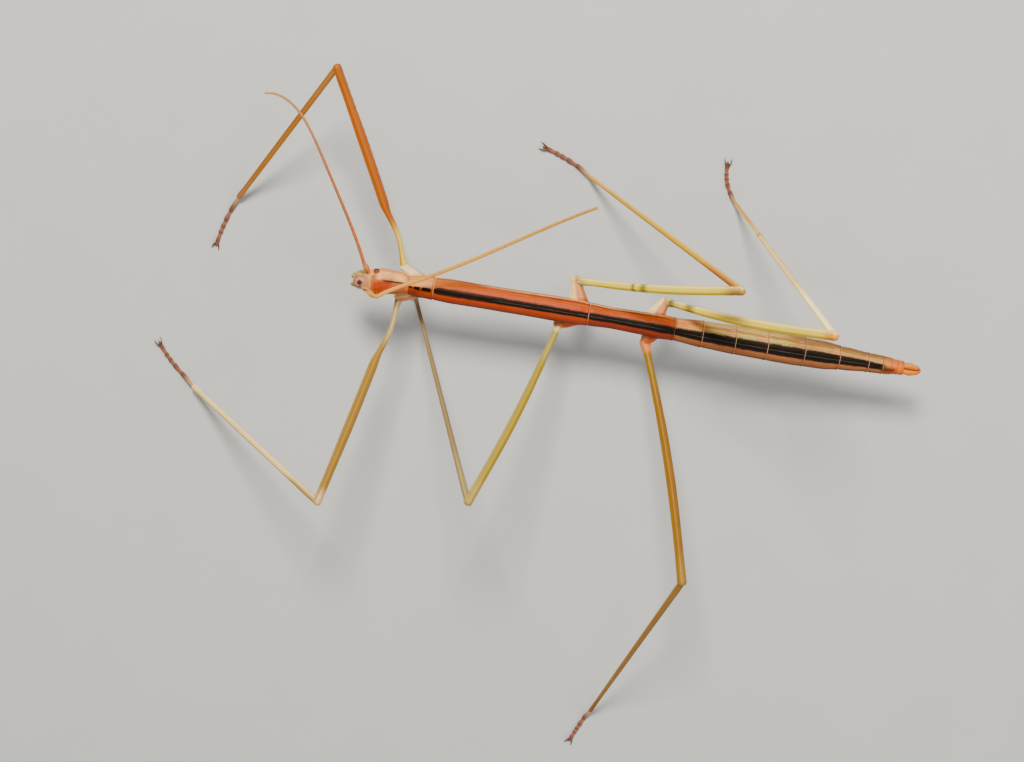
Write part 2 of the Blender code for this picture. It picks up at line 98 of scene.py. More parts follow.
def direction(heading: float, rise: float) -> np.ndarray:
    """Unit vector of a heading from +X towards +Y and a rise, both in degrees."""
    a, e = radians(heading), radians(rise)
    return np.array((cos(a) * cos(e), sin(a) * cos(e), sin(e)))


def unit(v: np.ndarray) -> np.ndarray:
    """The vector at length one."""
    return v / np.linalg.norm(v)


def read_curve(pairs: Sequence[tuple[float, float]], x: float) -> float:
    """Read a smooth run through pairs.

    Args:
        pairs: Place and value, listed by falling place.
        x: The place asked for.

    Returns:
        The value there.
    """
    if x >= pairs[0][0]:
        return pairs[0][1]
    for (x0, v0), (x1, v1) in zip(pairs[:-1], pairs[1:]):
        if x >= x1:
            return v0 + (v1 - v0) * float(smooth((x0 - x) / (x0 - x1)))
    return pairs[-1][1]


@dataclass(frozen=True)
class BodyLine:
    """Axis and outline of thorax and abdomen, the same as the solids have."""

    height: float = 23.4 * MM
    slope: float = 0.023
    drift: float = 0.9 * MM
    drift_length: float = 75 * MM
    neck: float = 49.9 * MM
    borders: tuple[float, ...] = tuple(x * MM for x in (
        41.7, -6.9, -34.0, -42.8, -53.2, -63.3, -75.0, -86.0, -95.2, -99.8, -102.6, -104.5, -106.1))
    tail_tip: float = -111.8 * MM
    height_ratio: float = 0.9
    flatten: tuple[float, float] = (-95 * MM, -101 * MM)
    belly_ratio: float = 0.32
    widths: Curve = tuple((x * MM, w * MM) for x, w in (
        (50.0, 3.0), (46.0, 3.45), (41.7, 3.55), (36.0, 3.8), (28.0, 3.75), (14.0, 3.8), (2.0, 3.95),
        (-3.5, 3.95), (-7.0, 3.65), (-14.0, 3.35), (-22.0, 3.55), (-29.0, 3.85), (-34.0, 3.6),
        (-43.0, 4.2), (-53.0, 4.5), (-70.0, 4.65), (-80.0, 4.45), (-88.0, 3.65), (-95.0, 3.05),
        (-100.0, 2.85), (-104.2, 2.3), (-108.0, 2.05), (-110.2, 1.55), (-111.3, 0.95), (-111.8, 0.45)))

    def origin(self) -> np.ndarray:
        """Find where body coordinates start, from two of the solids.

        Returns:
            The point, in the frame.
        """
        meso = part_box("mesothorax")[1]
        low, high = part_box("prothorax")
        return np.array((meso.x - (self.borders[0] - GAP / 2), (low.y + high.y) / 2, 0.0))

    def axis(self, x: float) -> np.ndarray:
        """Point of the body's axis at a station, in the frame."""
        aside = self.drift * float(smooth(-x / self.drift_length))
        return ORIGIN + np.array((x, aside, self.height + self.slope * x))

    def radii(self, x: float) -> Triple:
        """Half width, half height above and half height below the axis.

        Args:
            x: Station along the body.

        Returns:
            The three sizes.
        """
        width = read_curve(self.widths, x)
        above = width * self.height_ratio
        start, end = self.flatten
        flat = float(smooth((start - x) / (start - end)))
        return width, above, above * (1 - flat * (1 - self.belly_ratio))

    def skin(self, x: float, angle: float, grow: float = 0.0) -> np.ndarray:
        """Point of the trunk's surface.

        Args:
            x: Station along the body.
            angle: From the left side over the back, in radians.
            grow: How far outside the outline.

        Returns:
            The point, in the frame.
        """
        width, above, below = self.radii(x)
        height = above if sin(angle) > 0 else below
        return self.axis(x) + np.array((0, (width + grow) * cos(angle), (height + grow) * sin(angle)))


BODY = BodyLine()
ORIGIN = BODY.origin()


# --- shader kit -------------------------------------------------------------------------------
TINT_VIVID = 1.26
TINT_GAIN = 0.50
TINT_POWER = 1.12
TINT_FLOOR, TINT_CEILING = 0.0012, 1.8
BRIGHTEST = 0.9
GREY_WEIGHTS = (0.2126, 0.7152, 0.0722)
WARM_SHINE = (1.0, 0.84, 0.68, 1.0)


def tint(red: float, green: float, blue: float) -> tuple[float, float, float, float]:
    """Base colour that shows as the colour asked for in this studio's light.

    Args:
        red: Red wanted, from 0 to 255, or more for a very pale colour.
        green: Green wanted.
        blue: Blue wanted.

    Returns:
        The linear colour with an alpha of one.
    """
    linear = np.array([((v / 255 + 0.055) / 1.055) ** 2.4 for v in (red, green, blue)])
    grey = linear.dot(GREY_WEIGHTS)
    vivid = np.clip(grey + TINT_VIVID * (linear - grey), TINT_FLOOR, TINT_CEILING)
    return (*(float(v) for v in np.clip(TINT_GAIN * vivid ** TINT_POWER, 0.0, BRIGHTEST)), 1.0)


class Signal:
    """A number socket of a node tree that takes part in Python arithmetic."""

    def __init__(self, bench: "Bench", socket: bpy.types.NodeSocket) -> None:
        """Wrap a socket of a bench's tree."""
        self.bench = bench
        self.socket = socket

    def _math(self, operation: str, *values: object) -> "Signal":
        """Result of one Math node on one or two values."""
        node = self.bench.node("ShaderNodeMath", {"operation": operation}, dict(enumerate(values)))
        return Signal(self.bench, node.outputs[0])

    def __add__(self, other: object) -> "Signal":
        """Sum."""
        return self._math("ADD", self, other)

    __radd__ = __add__

    def __sub__(self, other: object) -> "Signal":
        """Difference."""
        return self._math("SUBTRACT", self, other)

    def __rsub__(self, other: object) -> "Signal":
        """Difference the other way round."""
        return self._math("SUBTRACT", other, self)

    def __mul__(self, other: object) -> "Signal":
        """Product."""
        return self._math("MULTIPLY", self, other)

    __rmul__ = __mul__

    def __truediv__(self, other: object) -> "Signal":
        """Quotient."""
        return self._math("DIVIDE", self, other)

    def __rtruediv__(self, other: object) -> "Signal":
        """Quotient the other way round."""
        return self._math("DIVIDE", other, self)

    def __abs__(self) -> "Signal":
        """Size without sign."""
        return self._math("ABSOLUTE", self)

    def sine(self) -> "Signal":
        """Sine of an angle in radians."""
        return self._math("SINE", self)

    def at_least(self, other: object) -> "Signal":
        """The larger of two."""
        return self._math("MAXIMUM", self, other)

    def ramp(self, low: float, high: float) -> "Signal":
        """Smooth step.

        Args:
            low: Where the result is 0.
            high: Where it is 1; it may be the smaller of the two.

        Returns:
            The step.
        """
        if low > high:
            return 1 - self.ramp(high, low)
        node = self.bench.node("ShaderNodeMapRange", {"interpolation_type": "SMOOTHSTEP"},
                               {0: self, 1: low, 2: high, 3: 0.0, 4: 1.0})
        return Signal(self.bench, node.outputs[0])

    def window(self, low: float, high: float, soft: float) -> "Signal":
        """One between two values, with soft ends."""
        return self.ramp(low - soft, low + soft) * self.ramp(high + soft, high - soft)

    def near(self, centre: float, reach: float) -> "Signal":
        """One at a value, falling to zero at some reach on both sides."""
        return abs(self - centre).ramp(reach, 0.0)


class Paint:
    """A colour, plain or from a socket, that can be painted over."""

    def __init__(self, bench: "Bench", colour: Triple | bpy.types.NodeSocket) -> None:
        """Keep the colour and the bench it is mixed on."""
        self.bench = bench
        self.value = colour if isinstance(colour, bpy.types.NodeSocket) else tint(*colour)

    def coats(self, *coats: tuple[object, object]) -> "Paint":
        """This paint with further coats over it.

        Args:
            *coats: For each coat its colour, a Paint or a plain one, and how much of it shows.

        Returns:
            The mixed paint.
        """
        paint = self
        for colour, mask in coats:
            top = colour.value if isinstance(colour, Paint) else tint(*colour)
            node = self.bench.node("ShaderNodeMix", {"data_type": "RGBA", "clamp_factor": True},
                                   {0: mask, 6: paint.value, 7: top})
            paint = Paint(self.bench, node.outputs[2])
        return paint

    def times(self, shade: Signal) -> "Paint":
        """This paint made darker or lighter by a signal round one."""
        node = self.bench.node("ShaderNodeVectorMath", {"operation": "SCALE"}, {0: self.value, 3: shade})
        return Paint(self.bench, node.outputs[0])


class Bench:
    """Node tree of one material, and the ways to add to it."""

    def __init__(self, name: str) -> None:
        """Start a material with a bare shader.

        Args:
            name: The material's name.
        """
        self.material = bpy.data.materials.new(name)
        self.material.use_nodes = True
        self.tree = self.material.node_tree
        self.tree.nodes.clear()
        self.shader = self.tree.nodes.new("ShaderNodeBsdfPrincipled")
        self.place: bpy.types.NodeSocket | None = None
        output = self.tree.nodes.new("ShaderNodeOutputMaterial")
        self.tree.links.new(self.shader.outputs[0], output.inputs[0])

    def feed(self, socket: bpy.types.NodeSocket, value: object) -> None:
        """Set a socket.

        Args:
            socket: The socket that gets the value.
            value: A plain value, or a signal or socket to be joined to it.
        """
        source = value.socket if isinstance(value, Signal) else value
        if isinstance(source, bpy.types.NodeSocket):
            self.tree.links.new(source, socket)
        else:
            socket.default_value = source

    def node(self, kind: str, settings: dict[str, object] | None = None,
             values: dict[int | str, object] | None = None) -> bpy.types.Node:
        """Any node of the tree.

        Args:
            kind: Blender's name of the node type.
            settings: Its own settings, set first.
            values: Values, signals or sockets for its inputs, by number or name.

        Returns:
            The node.
        """
        made = self.tree.nodes.new(kind)
        for key, value in (settings or {}).items():
            setattr(made, key, value)
        for key, value in (values or {}).items():
            self.feed(made.inputs[key], value)
        return made

    def readings(self, names: str) -> list[Signal]:
        """Numbers that the mesh carries at each of its points, by their names."""
        nodes = [self.node("ShaderNodeAttribute", {"attribute_name": name}) for name in names.split()]
        return [Signal(self, node.outputs["Fac"]) for node in nodes]

    def position(self) -> bpy.types.NodeSocket:
        """Position in the frame, from one node for the whole material.

        Returns:
            A vector socket.
        """
        if self.place is None:
            self.place = self.node("ShaderNodeTexCoord").outputs["Object"]
        return self.place

    def along(self, way: Signal, out: Signal, over: Signal, stretch: float) -> bpy.types.NodeSocket:
        """Position that runs with a limb, with a grain some times longer than wide."""
        return self.node("ShaderNodeCombineXYZ", None, {0: way / stretch, 1: out, 2: over}).outputs[0]

    def noise(self, size: float, vector: bpy.types.NodeSocket | None = None, detail: float = 2.0) -> Signal:
        """Smooth noise between 0 and 1.

        Args:
            size: Size of its lumps, in the vector's unit, or in metres without a vector.
            vector: Where it is read.
            detail: How many finer layers it has.

        Returns:
            The noise.
        """
        values = {"Vector": vector or self.position(), "Scale": 1 / size, "Detail": detail, "Roughness": 0.55}
        return Signal(self, self.node("ShaderNodeTexNoise", None, values).outputs[0])

    def finish(self, colour: Paint, roughness: object, height: Signal, depth: float,
               **fixed: object) -> bpy.types.Material:
        """Join colour, roughness and relief to the shader.

        Args:
            colour: The surface's colour.
            roughness: A value or a signal.
            height: Relief from 0 to 1.
            depth: Height of that relief, in metres.
            **fixed: Other sockets of the shader, the same all over; _ stands for a space.

        Returns:
            The material.
        """
        bump = self.node("ShaderNodeBump", None, {"Strength": 1.0, "Distance": depth, "Height": height})
        varied = {"Base Color": colour.value, "Roughness": roughness, "Normal": bump.outputs[0]}
        for key, value in (varied | fixed).items():
            self.feed(self.shader.inputs[key.replace("_", " ")], value)
        return self.material


# --- mesh kit ---------------------------------------------------------------------------------
class Draft:
    """Collects closed lofts and makes one piece of them."""

    def __init__(self, name: str) -> None:
        """Start an empty piece.

        Args:
            name: The piece's name.
        """
        self.name = name
        self.points: list[np.ndarray] = []
        self.faces: list[tuple[int, ...]] = []
        self.readings: dict[str, list[np.ndarray]] = {}

    def loft(self, rings: np.ndarray, **readings: np.ndarray) -> None:
        """Add a closed skin through rings, with a pole at both ends.

        Args:
            rings: Points by ring and side.
            **readings: Numbers by ring and side, or one for all.
        """
        total, sides = rings.shape[:2]
        start = sum(len(points) for points in self.points)
        self.points += [rings.reshape(-1, 3), rings[0].mean(0)[None], rings[-1].mean(0)[None]]
        for a in range(start, start + (total - 1) * sides, sides):
            self.faces += [(a + k, a + (k + 1) % sides, a + sides + (k + 1) % sides, a + sides + k)
                           for k in range(sides)]
        first, last, tail = (start + n for n in (total * sides, total * sides + 1, (total - 1) * sides))
        for k in range(sides):
            j = (k + 1) % sides
            self.faces += [(first, start + j, start + k), (last, tail + k, tail + j)]
        for key, value in readings.items():
            grid = np.broadcast_to(value, (total, sides))
            self.readings.setdefault(key, []).append(
                np.concatenate([grid.reshape(-1), [grid[0].mean()], [grid[-1].mean()]]))

    def stand(self) -> None:
        """Cut off by the floor what would reach below it."""
        for points in self.points:
            points[:, 2] = np.maximum(points[:, 2], 0.0)

    def build(self, material: bpy.types.Material, slot: str, *nodes: str) -> None:
        """Make the piece.

        Args:
            material: Its finish.
            slot: The record's material slot.
            *nodes: Names of the solids it stands for.
        """
        mesh = bpy.data.meshes.new(self.name)
        mesh.from_pydata(np.concatenate(self.points).tolist(), [], self.faces)
        for key, parts in self.readings.items():
            mesh.attributes.new(key, "FLOAT", "POINT").data.foreach_set("value", np.concatenate(parts))
        seat(mesh, material, slot, *nodes)


def seat(mesh: bpy.types.Mesh, material: bpy.types.Material, slot: str, *nodes: str) -> None:
    """Turn a finished mesh into a piece that rides on the body.

    Args:
        mesh: The mesh, in the frame.
        material: Its finish.
        slot: The record's material slot; not used.
        *nodes: Names of the solids it stands for.
    """
    skin = bmesh.new()
    skin.from_mesh(mesh)
    bmesh.ops.recalc_face_normals(skin, faces=skin.faces)
    skin.to_mesh(mesh)
    skin.free()
    mesh.shade_smooth()
    mesh.materials.append(material)
    piece = bpy.data.objects.new(mesh.name, mesh)
    bpy.context.scene.collection.objects.link(piece)
    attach(piece, "root")
    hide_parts(*nodes)
    LOG.info("%s: %d faces", piece.name, len(mesh.polygons))


def ring_angles(sides: int) -> np.ndarray:
    """Angles round a ring, from the left side over the top."""
    return 2 * pi * (np.arange(sides) + 0.5) / sides


def crosswise(out: np.ndarray, up: np.ndarray) -> np.ndarray:
    """Offsets straight across the body."""
    return np.stack([0 * out, out, up], -1)


def squareness(c: np.ndarray, s: np.ndarray, power: float) -> np.ndarray:
    """Factor that turns a circle into a rounded square; the higher the power, the squarer."""
    return (np.abs(c) ** power + np.abs(s) ** power) ** (-1 / power)


def distances(line: np.ndarray) -> np.ndarray:
    """Distance of each point of a line from its first, in mm."""
    return np.concatenate([[0], np.cumsum(np.linalg.norm(np.diff(line, axis=0), axis=1))]) / MM


def no_relief(way: np.ndarray, angle: np.ndarray) -> np.ndarray:
    """A plain surface."""
    return 0 * way + 0 * angle


def limb_loft(draft: Draft, centres: np.ndarray, half_width: np.ndarray, half_depth: np.ndarray, sides: int,
              relief: Relief = no_relief, **readings: object) -> None:
    """Add a limb round a line of centres, with rounded ends.

    Args:
        draft: The piece that gets it.
        centres: Points of the limb's axis.
        half_width: Half width at each point.
        half_depth: Half depth at each point.
        sides: Points in each ring.
        relief: Share added to the radius, from the way in mm and the angle.
        **readings: Further numbers that its points carry.
    """
    way = distances(centres)
    tangents = np.gradient(centres, axis=0)
    tangents /= np.linalg.norm(tangents, axis=1)[:, None]
    across = np.cross(tangents, (0.0, 0.0, 1.0))
    across /= np.linalg.norm(across, axis=1)[:, None]
    upward = np.cross(across, tangents)
    angles = ring_angles(sides)
    grow = 1 + relief(way[:, None], angles[None, :])
    full = np.clip(half_width / np.median(half_width) / 0.8, 0, 1)[:, None]
    c, s = np.cos(angles), np.sin(angles)
    rings = (centres[:, None] + across[:, None] * (half_width[:, None] * (c * grow))[..., None]
             + upward[:, None] * (half_depth[:, None] * (s * grow))[..., None])
    draft.loft(rings, way=way[:, None], share=(way / way[-1])[:, None], out=c * full, over=s * full, **readings)


def round_ends(length: float, step: float, start: float, end: float) -> tuple[np.ndarray, np.ndarray]:
    """Stations along a limb that close with round caps.

    Args:
        length: Length without the caps.
        step: Spacing of the stations between them.
        start: Length of the cap before the start.
        end: Length of the cap past the end.

    Returns:
        Stations, and the share of the full radius at each.
    """
    turn = np.linspace(0.06, 1, 9)[:-1] * pi / 2
    middle = np.linspace(0, length, max(int(length / step), 2))
    stations = np.concatenate([-start * np.cos(turn), middle, length + end * np.cos(turn[::-1])])
    return stations, np.concatenate([np.sin(turn), np.ones(len(middle)), np.sin(turn[::-1])])


def spline(points: np.ndarray, values: Sequence[float], steps: int) -> tuple[np.ndarray, np.ndarray]:
    """Smooth line through points, with a value that runs along it.

    Args:
        points: The points it passes.
        values: One value for each point.
        steps: Steps between two points.

    Returns:
        Points of the line and the values there.
    """
    padded = np.vstack([2 * points[0] - points[1], points, 2 * points[-1] - points[-2]])
    line, read = [], []
    for k in range(len(points) - 1):
        a, b, c, d = padded[k:k + 4]
        for t in np.arange(steps) / steps:
            line.append(0.5 * (2 * b + (c - a) * t + (2 * a - 5 * b + 4 * c - d) * t ** 2
                               + (3 * b - a - 3 * c + d) * t ** 3))
            read.append(values[k] + (values[k + 1] - values[k]) * smooth(t))
    return np.array(line + [points[-1]]), np.array(read + [values[-1]])


# --- finishes ---------------------------------------------------------------------------------
@dataclass(frozen=True)
class TrunkFinish:
    """Waxy cuticle of thorax and abdomen: a black stripe along the back between orange or tan bands."""

    right_band: Triple = (208, 108, 46)
    outer_band: Triple = (188, 102, 58)
    front_band: Triple = (226, 142, 78)
    pronotum: Triple = (252, 188, 138)
    inner_band: Triple = (176, 76, 24)
    # left band: its own red-orange, made darker than the right band by painted shade
    left_band: Triple = (182, 82, 32)
    metathorax_left: Triple = (150, 60, 24)
    flank: Triple = (180, 106, 62)
    belly: Triple = (188, 132, 90)
    median_right: Triple = (250, 176, 118)
    abdomen_right: Triple = (206, 166, 118)
    abdomen_green: Triple = (212, 196, 128)
    abdomen_pink: Triple = (226, 164, 120)
    abdomen_outer: Triple = (150, 116, 84)
    abdomen_edge: Triple = (234, 206, 146)
    abdomen_left: Triple = (184, 126, 88)
    # painted shade: dark brown for the far left flank, which lies in shade
    lower_edge_shade: Triple = (104, 48, 22)
    olive: Triple = (132, 98, 50)
    brown: Triple = (86, 40, 20)
    cream: Triple = (250, 222, 178)
    black: Triple = (8, 4, 2)
    plum: Triple = (92, 46, 34)
    grey: Triple = (136, 120, 106)
    tail: Triple = (236, 136, 56)
    patches: tuple[Triple, ...] = ((48.3, 49.4, 0.15), (46.0, 47.9, 0.2), (42.5, 45.4, 0.25))

    def bands(self, b: Bench, grain: Signal, cloud: Signal) -> Paint:
        """Colours on both sides of the stripe.

        Args:
            b: The material's bench.
            grain: Noise drawn out along the body.
            cloud: Wide soft noise.

        Returns:
            The colour.
        """
        station, left, over, rim = b.readings("station left over rim")
        pale = station.ramp(41.2, 42.4) * left.ramp(-0.02, -0.24) * (0.6 + cloud * 0.6)
        front = Paint(b, self.right_band).coats(
            (self.outer_band, left.ramp(-0.74, -0.92) * 0.8),
            (self.front_band, station.ramp(24, 44) * left.ramp(-0.1, -0.4) * 0.7),
            (self.pronotum, pale * 0.85),
            (self.outer_band, station.ramp(-6.6, -7.2) * 0.7),
            (self.inner_band, left.window(-0.64, -0.30, 0.09) * station.ramp(40, 30) * 0.62),
            # the left half takes the left band colour: its own red-orange, partly painted shade
            (self.left_band, left.ramp(-0.12, 0.12)),
            (self.left_band, cloud.ramp(0.5, 0.62) * station.window(-33, 8, 4.0) * 0.5),
            (self.metathorax_left, station.ramp(-6.6, -7.4) * left.ramp(-0.1, 0.1) * 0.75),
            # painted shade on the far left flank
            (self.lower_edge_shade, left.ramp(0.70, 0.86) * 0.7))
        inner = left.window(-0.72, -0.34, 0.07)
        segment = rim + grain * 2
        line = (left + 0.76 + (cloud - 0.5) * 0.16).near(0.0, 0.07).at_least(left.near(-0.9, 0.03))
        hind = Paint(b, self.abdomen_right).coats(
            (self.abdomen_green, segment.ramp(3.5, 6.5) * inner * station.window(-74, -43, 2.0) * 0.85),
            (self.abdomen_pink, segment.ramp(5.5, 2.5) * inner * 0.8),
            (self.abdomen_outer, left.ramp(-0.74, -0.9) * station.ramp(-66, -82)),
            (self.abdomen_edge, left.ramp(-0.80, -0.90) * station.ramp(-72, -64) * 0.75),
            (self.median_right, station.ramp(-44.0, -42.0) * 0.9),
            (self.olive, line * (0.3 + grain * 0.9) * (0.25 + station.ramp(-40, -46) * 0.65)),
            (self.abdomen_left, left.ramp(-0.12, 0.12)),
            (self.left_band, cloud.ramp(0.5, 0.6) * left.ramp(0.2, 0.4) * 0.25),
            # painted shade on the far left flank
            (self.lower_edge_shade, left.ramp(0.72, 0.86) * 0.65))
        return hind.coats((front, station.ramp(-34.6, -33.4)), (self.flank, over.ramp(0.2, -0.05)),
                          (self.belly, over.ramp(-0.15, -0.5)))

    def dress(self) -> bpy.types.Material:
        """Mix the material.

        Returns:
            The material.
        """
        b = Bench("trunk_cuticle")
        station, left, over, stripe, rim = b.readings("station left over stripe rim")
        grain = b.noise(0.35, b.along(station, left * 4, over * 4, 9.0), 3.0)
        cracks = b.noise(0.5, b.along(station, left * 1.2, over * 1.2, 0.7), 3.0)
        fleck, cloud = b.noise(0.0011), b.noise(0.006)
        upper = over.ramp(-0.25, 0.15)
        lines = (left * 46 + grain * 4).sine().ramp(0.4, 1.0)
        edge = left.near(-0.87, 0.035) * upper * station.window(-31, 14, 3.0)
        speckle = fleck.ramp(0.58, 0.68) * left.ramp(-0.35, -0.6) * station.window(-33, -22, 3.0)
        colour = self.bands(b, grain, cloud).coats(
            (self.tail, station.ramp(-98, -105) * 0.9),
            (self.brown, lines * abs(left).ramp(0.4, 0.62) * upper * (0.26 + cloud * 0.44)),
            (self.brown, edge * 0.9),
            (self.cream, left.near(-0.96, 0.05) * over.ramp(-0.05, 0.15)
             * station.window(-31, 27, 4.0) * (0.3 + fleck * 0.7)),
            (self.brown, speckle * upper * 0.6))
        colour = colour.times(0.70 + cloud * 0.36 + grain * 0.28)

        # the stripe, whole on most of the back and in patches on the first segment
        ragged = stripe + (fleck - 0.5) * 0.34 + (grain - 0.5) * 0.5
        first, second, third = (station.window(*patch) for patch in self.patches)
        where = station.ramp(42.0, 41.4).at_least(first.at_least(second).at_least(third))
        where = where * station.ramp(-101.5, -98.5)
        black = ragged.ramp(1.16, 0.92) * where
        worn = cracks.ramp(0.57, 0.66) * ragged.ramp(0.45, 0.9) * left.ramp(0.0, -0.1)
        worn = worn * station.window(-33, 40, 2.0) * cloud.ramp(0.42, 0.55)
        seam = (left + 0.035 + (grain - 0.5) * 0.1).near(0.0, 0.035) * station.window(-30, 22, 4.0)
        hair = left.near(0.0, 0.03) * station.window(-96, -36, 3.0)
        wedge = (left + (fleck - 0.5) * 0.2).near(0.3, 0.62) * station.window(-103.6, -99.4, 0.9) * upper

        # pale ribs ahead of each hind rim, the rim itself, and a ring of painted shade just ahead of the rim
        ribs = (left * 38).sine().ramp(-0.1, 0.7) * rim.window(0.45, 2.3, 0.35) * station.ramp(-34.2, -35.5)
        ribs = ribs * left.window(-0.88, -0.42, 0.05) * (fleck * 0.6 + cloud * 0.6).ramp(0.45, 0.75)
        ribs = ribs * station.ramp(-99, -96)
        wavy = rim + (fleck - 0.5) * 0.2
        ring = wavy.ramp(0.23, 0.11) * upper * station.ramp(-103, -101) * left.ramp(0.75, 0.15)
        bright = abs(station + 7).ramp(3, 1).at_least(station.ramp(39, 41))
        strength = 0.02 + cloud * 0.34 + fleck * 0.2 + ragged.ramp(1.3, 0.9) * 0.3 + bright * 0.08
        strength = strength * (1 - station.near(-34.0, 1.5) * ragged.ramp(1.3, 0.9) * 0.7)
        colour = colour.coats(
            (self.brown, ragged.ramp(1.42, 1.05) * where * 0.6),
            (self.black, black * (1 - worn * 0.7)),
            (self.brown, black * station.window(24, 41.5, 2.0) * ragged.ramp(0.35, 0.8) * 0.6),
            (self.grey, seam.at_least(hair) * black * (0.15 + grain * 0.8)),
            (self.plum, wedge * 0.95),
            (self.cream, ribs * 0.5),
            (self.cream, ring * strength),
            # painted shade: a dark ring just ahead of each pale rim
            (self.brown, wavy.near(0.5, 0.22) * upper * 0.5))
        return b.finish(colour, 0.34 + fleck * 0.18 + black * 0.08, grain * 0.6 + fleck * 0.25 + ribs * 0.5,
                        0.12 * MM, Specular_IOR_Level=0.16, Specular_Tint=(1.0, 0.8, 0.62, 1.0))


@dataclass(frozen=True)
class HeadFinish:
    """Cuticle of the head: pinkish tan with cream ridges, an orange crown, a dark line behind it, and painted shade
    along a suture and in its furrows.
    """

    skin: Triple = (206, 132, 82)
    face: Triple = (228, 178, 134)
    cream: Triple = (268, 212, 158)
    peach: Triple = (232, 146, 94)
    rust: Triple = (190, 76, 26)
    shadow: Triple = (120, 62, 36)
    dark: Triple = (24, 12, 8)
    olive: Triple = (168, 150, 84)

    def dress(self) -> bpy.types.Material:
        """Mix the material.

        Returns:
            The material.
        """
        b = Bench("head_cuticle_finish")
        ahead, left, over, crest = b.readings("ahead left over crest")
        fleck, cloud = b.noise(0.0008), b.noise(0.0028)
        grain = b.noise(0.3, b.along(ahead, left * 4, over * 4, 5.0), 3.0)
        top = over.ramp(0.2, 0.5)
        right = left.window(-0.92, -0.34, 0.12) * ahead.window(0.6, 9.6, 1.0) * over.ramp(0.0, 0.3)
        # painted shade: a soft dark band along the suture on the crown
        suture_shade = (left + 0.24 + (cloud - 0.5) * 0.2).near(0.0, 0.22) * ahead.window(4.6, 8.0, 0.8) * top
        line = abs(left + 0.25).ramp(0.10, 0.04) * over.ramp(0.4, 0.6) * ahead.window(0.6, 7.2, 0.6)
        colour = Paint(b, self.skin).coats(
            (self.face, ahead.ramp(11.0, 12.6) * 0.85),
            (self.cream, over.ramp(0.45, -0.1) * ahead.ramp(13.5, 11.5) * 0.55),
            (self.cream, right * (0.45 + cloud * 0.8)),
            (self.peach, left.window(-0.64, -0.28, 0.12) * ahead.window(4.0, 8.4, 1.1) * top
             * (0.5 + cloud * 0.5)),
            (self.rust, left.window(-0.22, 0.8, 0.16) * ahead.window(5.2, 10.6, 0.9) * top
             * (0.35 + cloud * 0.9)),
            (self.rust, left.window(-0.05, 0.75, 0.15) * ahead.window(0.4, 6.0, 1.2) * top * 0.6),
            # painted shade along the suture
            (self.shadow, suture_shade * 0.85),
            (self.olive, ahead.ramp(13.4, 15.0) * over.ramp(0.6, -0.2) * 0.6),
            (self.cream, crest.ramp(0.25, 0.9) * 0.7))
        colour = colour.times(0.76 + cloud * 0.3 + fleck * 0.16).coats(
            (self.dark, line * (cloud + fleck * 0.4).ramp(0.42, 0.58) * 0.95),
            # painted shade in the furrows and sutures
            (self.shadow, crest.ramp(-0.2, -0.8) * 0.75))
        return b.finish(colour, 0.38 + fleck * 0.16, fleck * 0.45 + grain * ahead.ramp(13.0, 9.5) * 0.4,
                        0.09 * MM, Specular_IOR_Level=0.28, Specular_Tint=WARM_SHINE)


@dataclass(frozen=True)
class LimbFinish:
    """Cuticle of one limb joint: colours along it, a painted highlight on its lit flank, painted shade on the other,
    and lengthwise ridges with painted highlight on them and painted shade between them.

    The root is the small ring joint at its start.  Bands are places and reaches along the joint.
    """

    name: str
    base: Triple
    middle: Triple
    end: Triple
    # pale: colour of the painted highlight on the lit flank, whose side and strength follow
    pale: Triple
    pale_side: int = 1
    root: Triple | None = None
    root_reach: float = 2.2
    pale_share: float = 0.6
    base_reach: float = 0.2
    end_reach: float = 0.12
    bands: Curve = ()
    band_colour: Triple = (120, 112, 62)

    @cache
    def dress(self) -> bpy.types.Material:
        """Mix the material.

        Returns:
            The material.
        """
        b = Bench(self.name)
        way, share, out, over, crest = b.readings("way share out over crest")
        grain = b.noise(0.4, b.along(way, out * 2.2, over * 2.2, 11.0), 3.0)
        fleck, cloud = b.noise(0.0009), b.noise(0.007)
        # painted highlight on the lit flank and painted shade on the far one
        flank = out * self.pale_side + (grain - 0.5) * 0.4
        colour = Paint(b, self.middle).coats(
            (self.base, share.ramp(self.base_reach * 1.35, self.base_reach * 0.8)),
            (self.end, share.ramp(1 - self.end_reach * 1.4, 1 - self.end_reach * 0.5)),
            (self.pale, flank.ramp(0.0, 0.8) * self.pale_share))
        colour = colour.times(1.0 - flank.ramp(-0.35, -0.95) * 0.3)
        if self.root is not None:
            colour = colour.coats(
                (self.root, (way + fleck).ramp(self.root_reach + 1.4, self.root_reach - 0.4)))
        for centre, reach in self.bands:
            mask = (share + (fleck - 0.5) * 0.02).near(centre, reach)
            colour = colour.coats((self.band_colour, mask * (0.55 + fleck * 0.5)))
        # painted highlight along the ridges and painted shade in the grooves between them
        colour = colour.times(1.0 + crest.ramp(0.1, 0.9) * 0.14 - crest.ramp(0.1, -0.7) * 0.16)
        colour = colour.times(0.80 + cloud * 0.22 + grain * 0.22 - fleck.ramp(0.60, 0.74) * 0.14)
        return b.finish(colour, 0.38 + grain * 0.14, grain * 0.7 + fleck * 0.3, 0.07 * MM,
                        Specular_IOR_Level=0.26, Specular_Tint=WARM_SHINE)


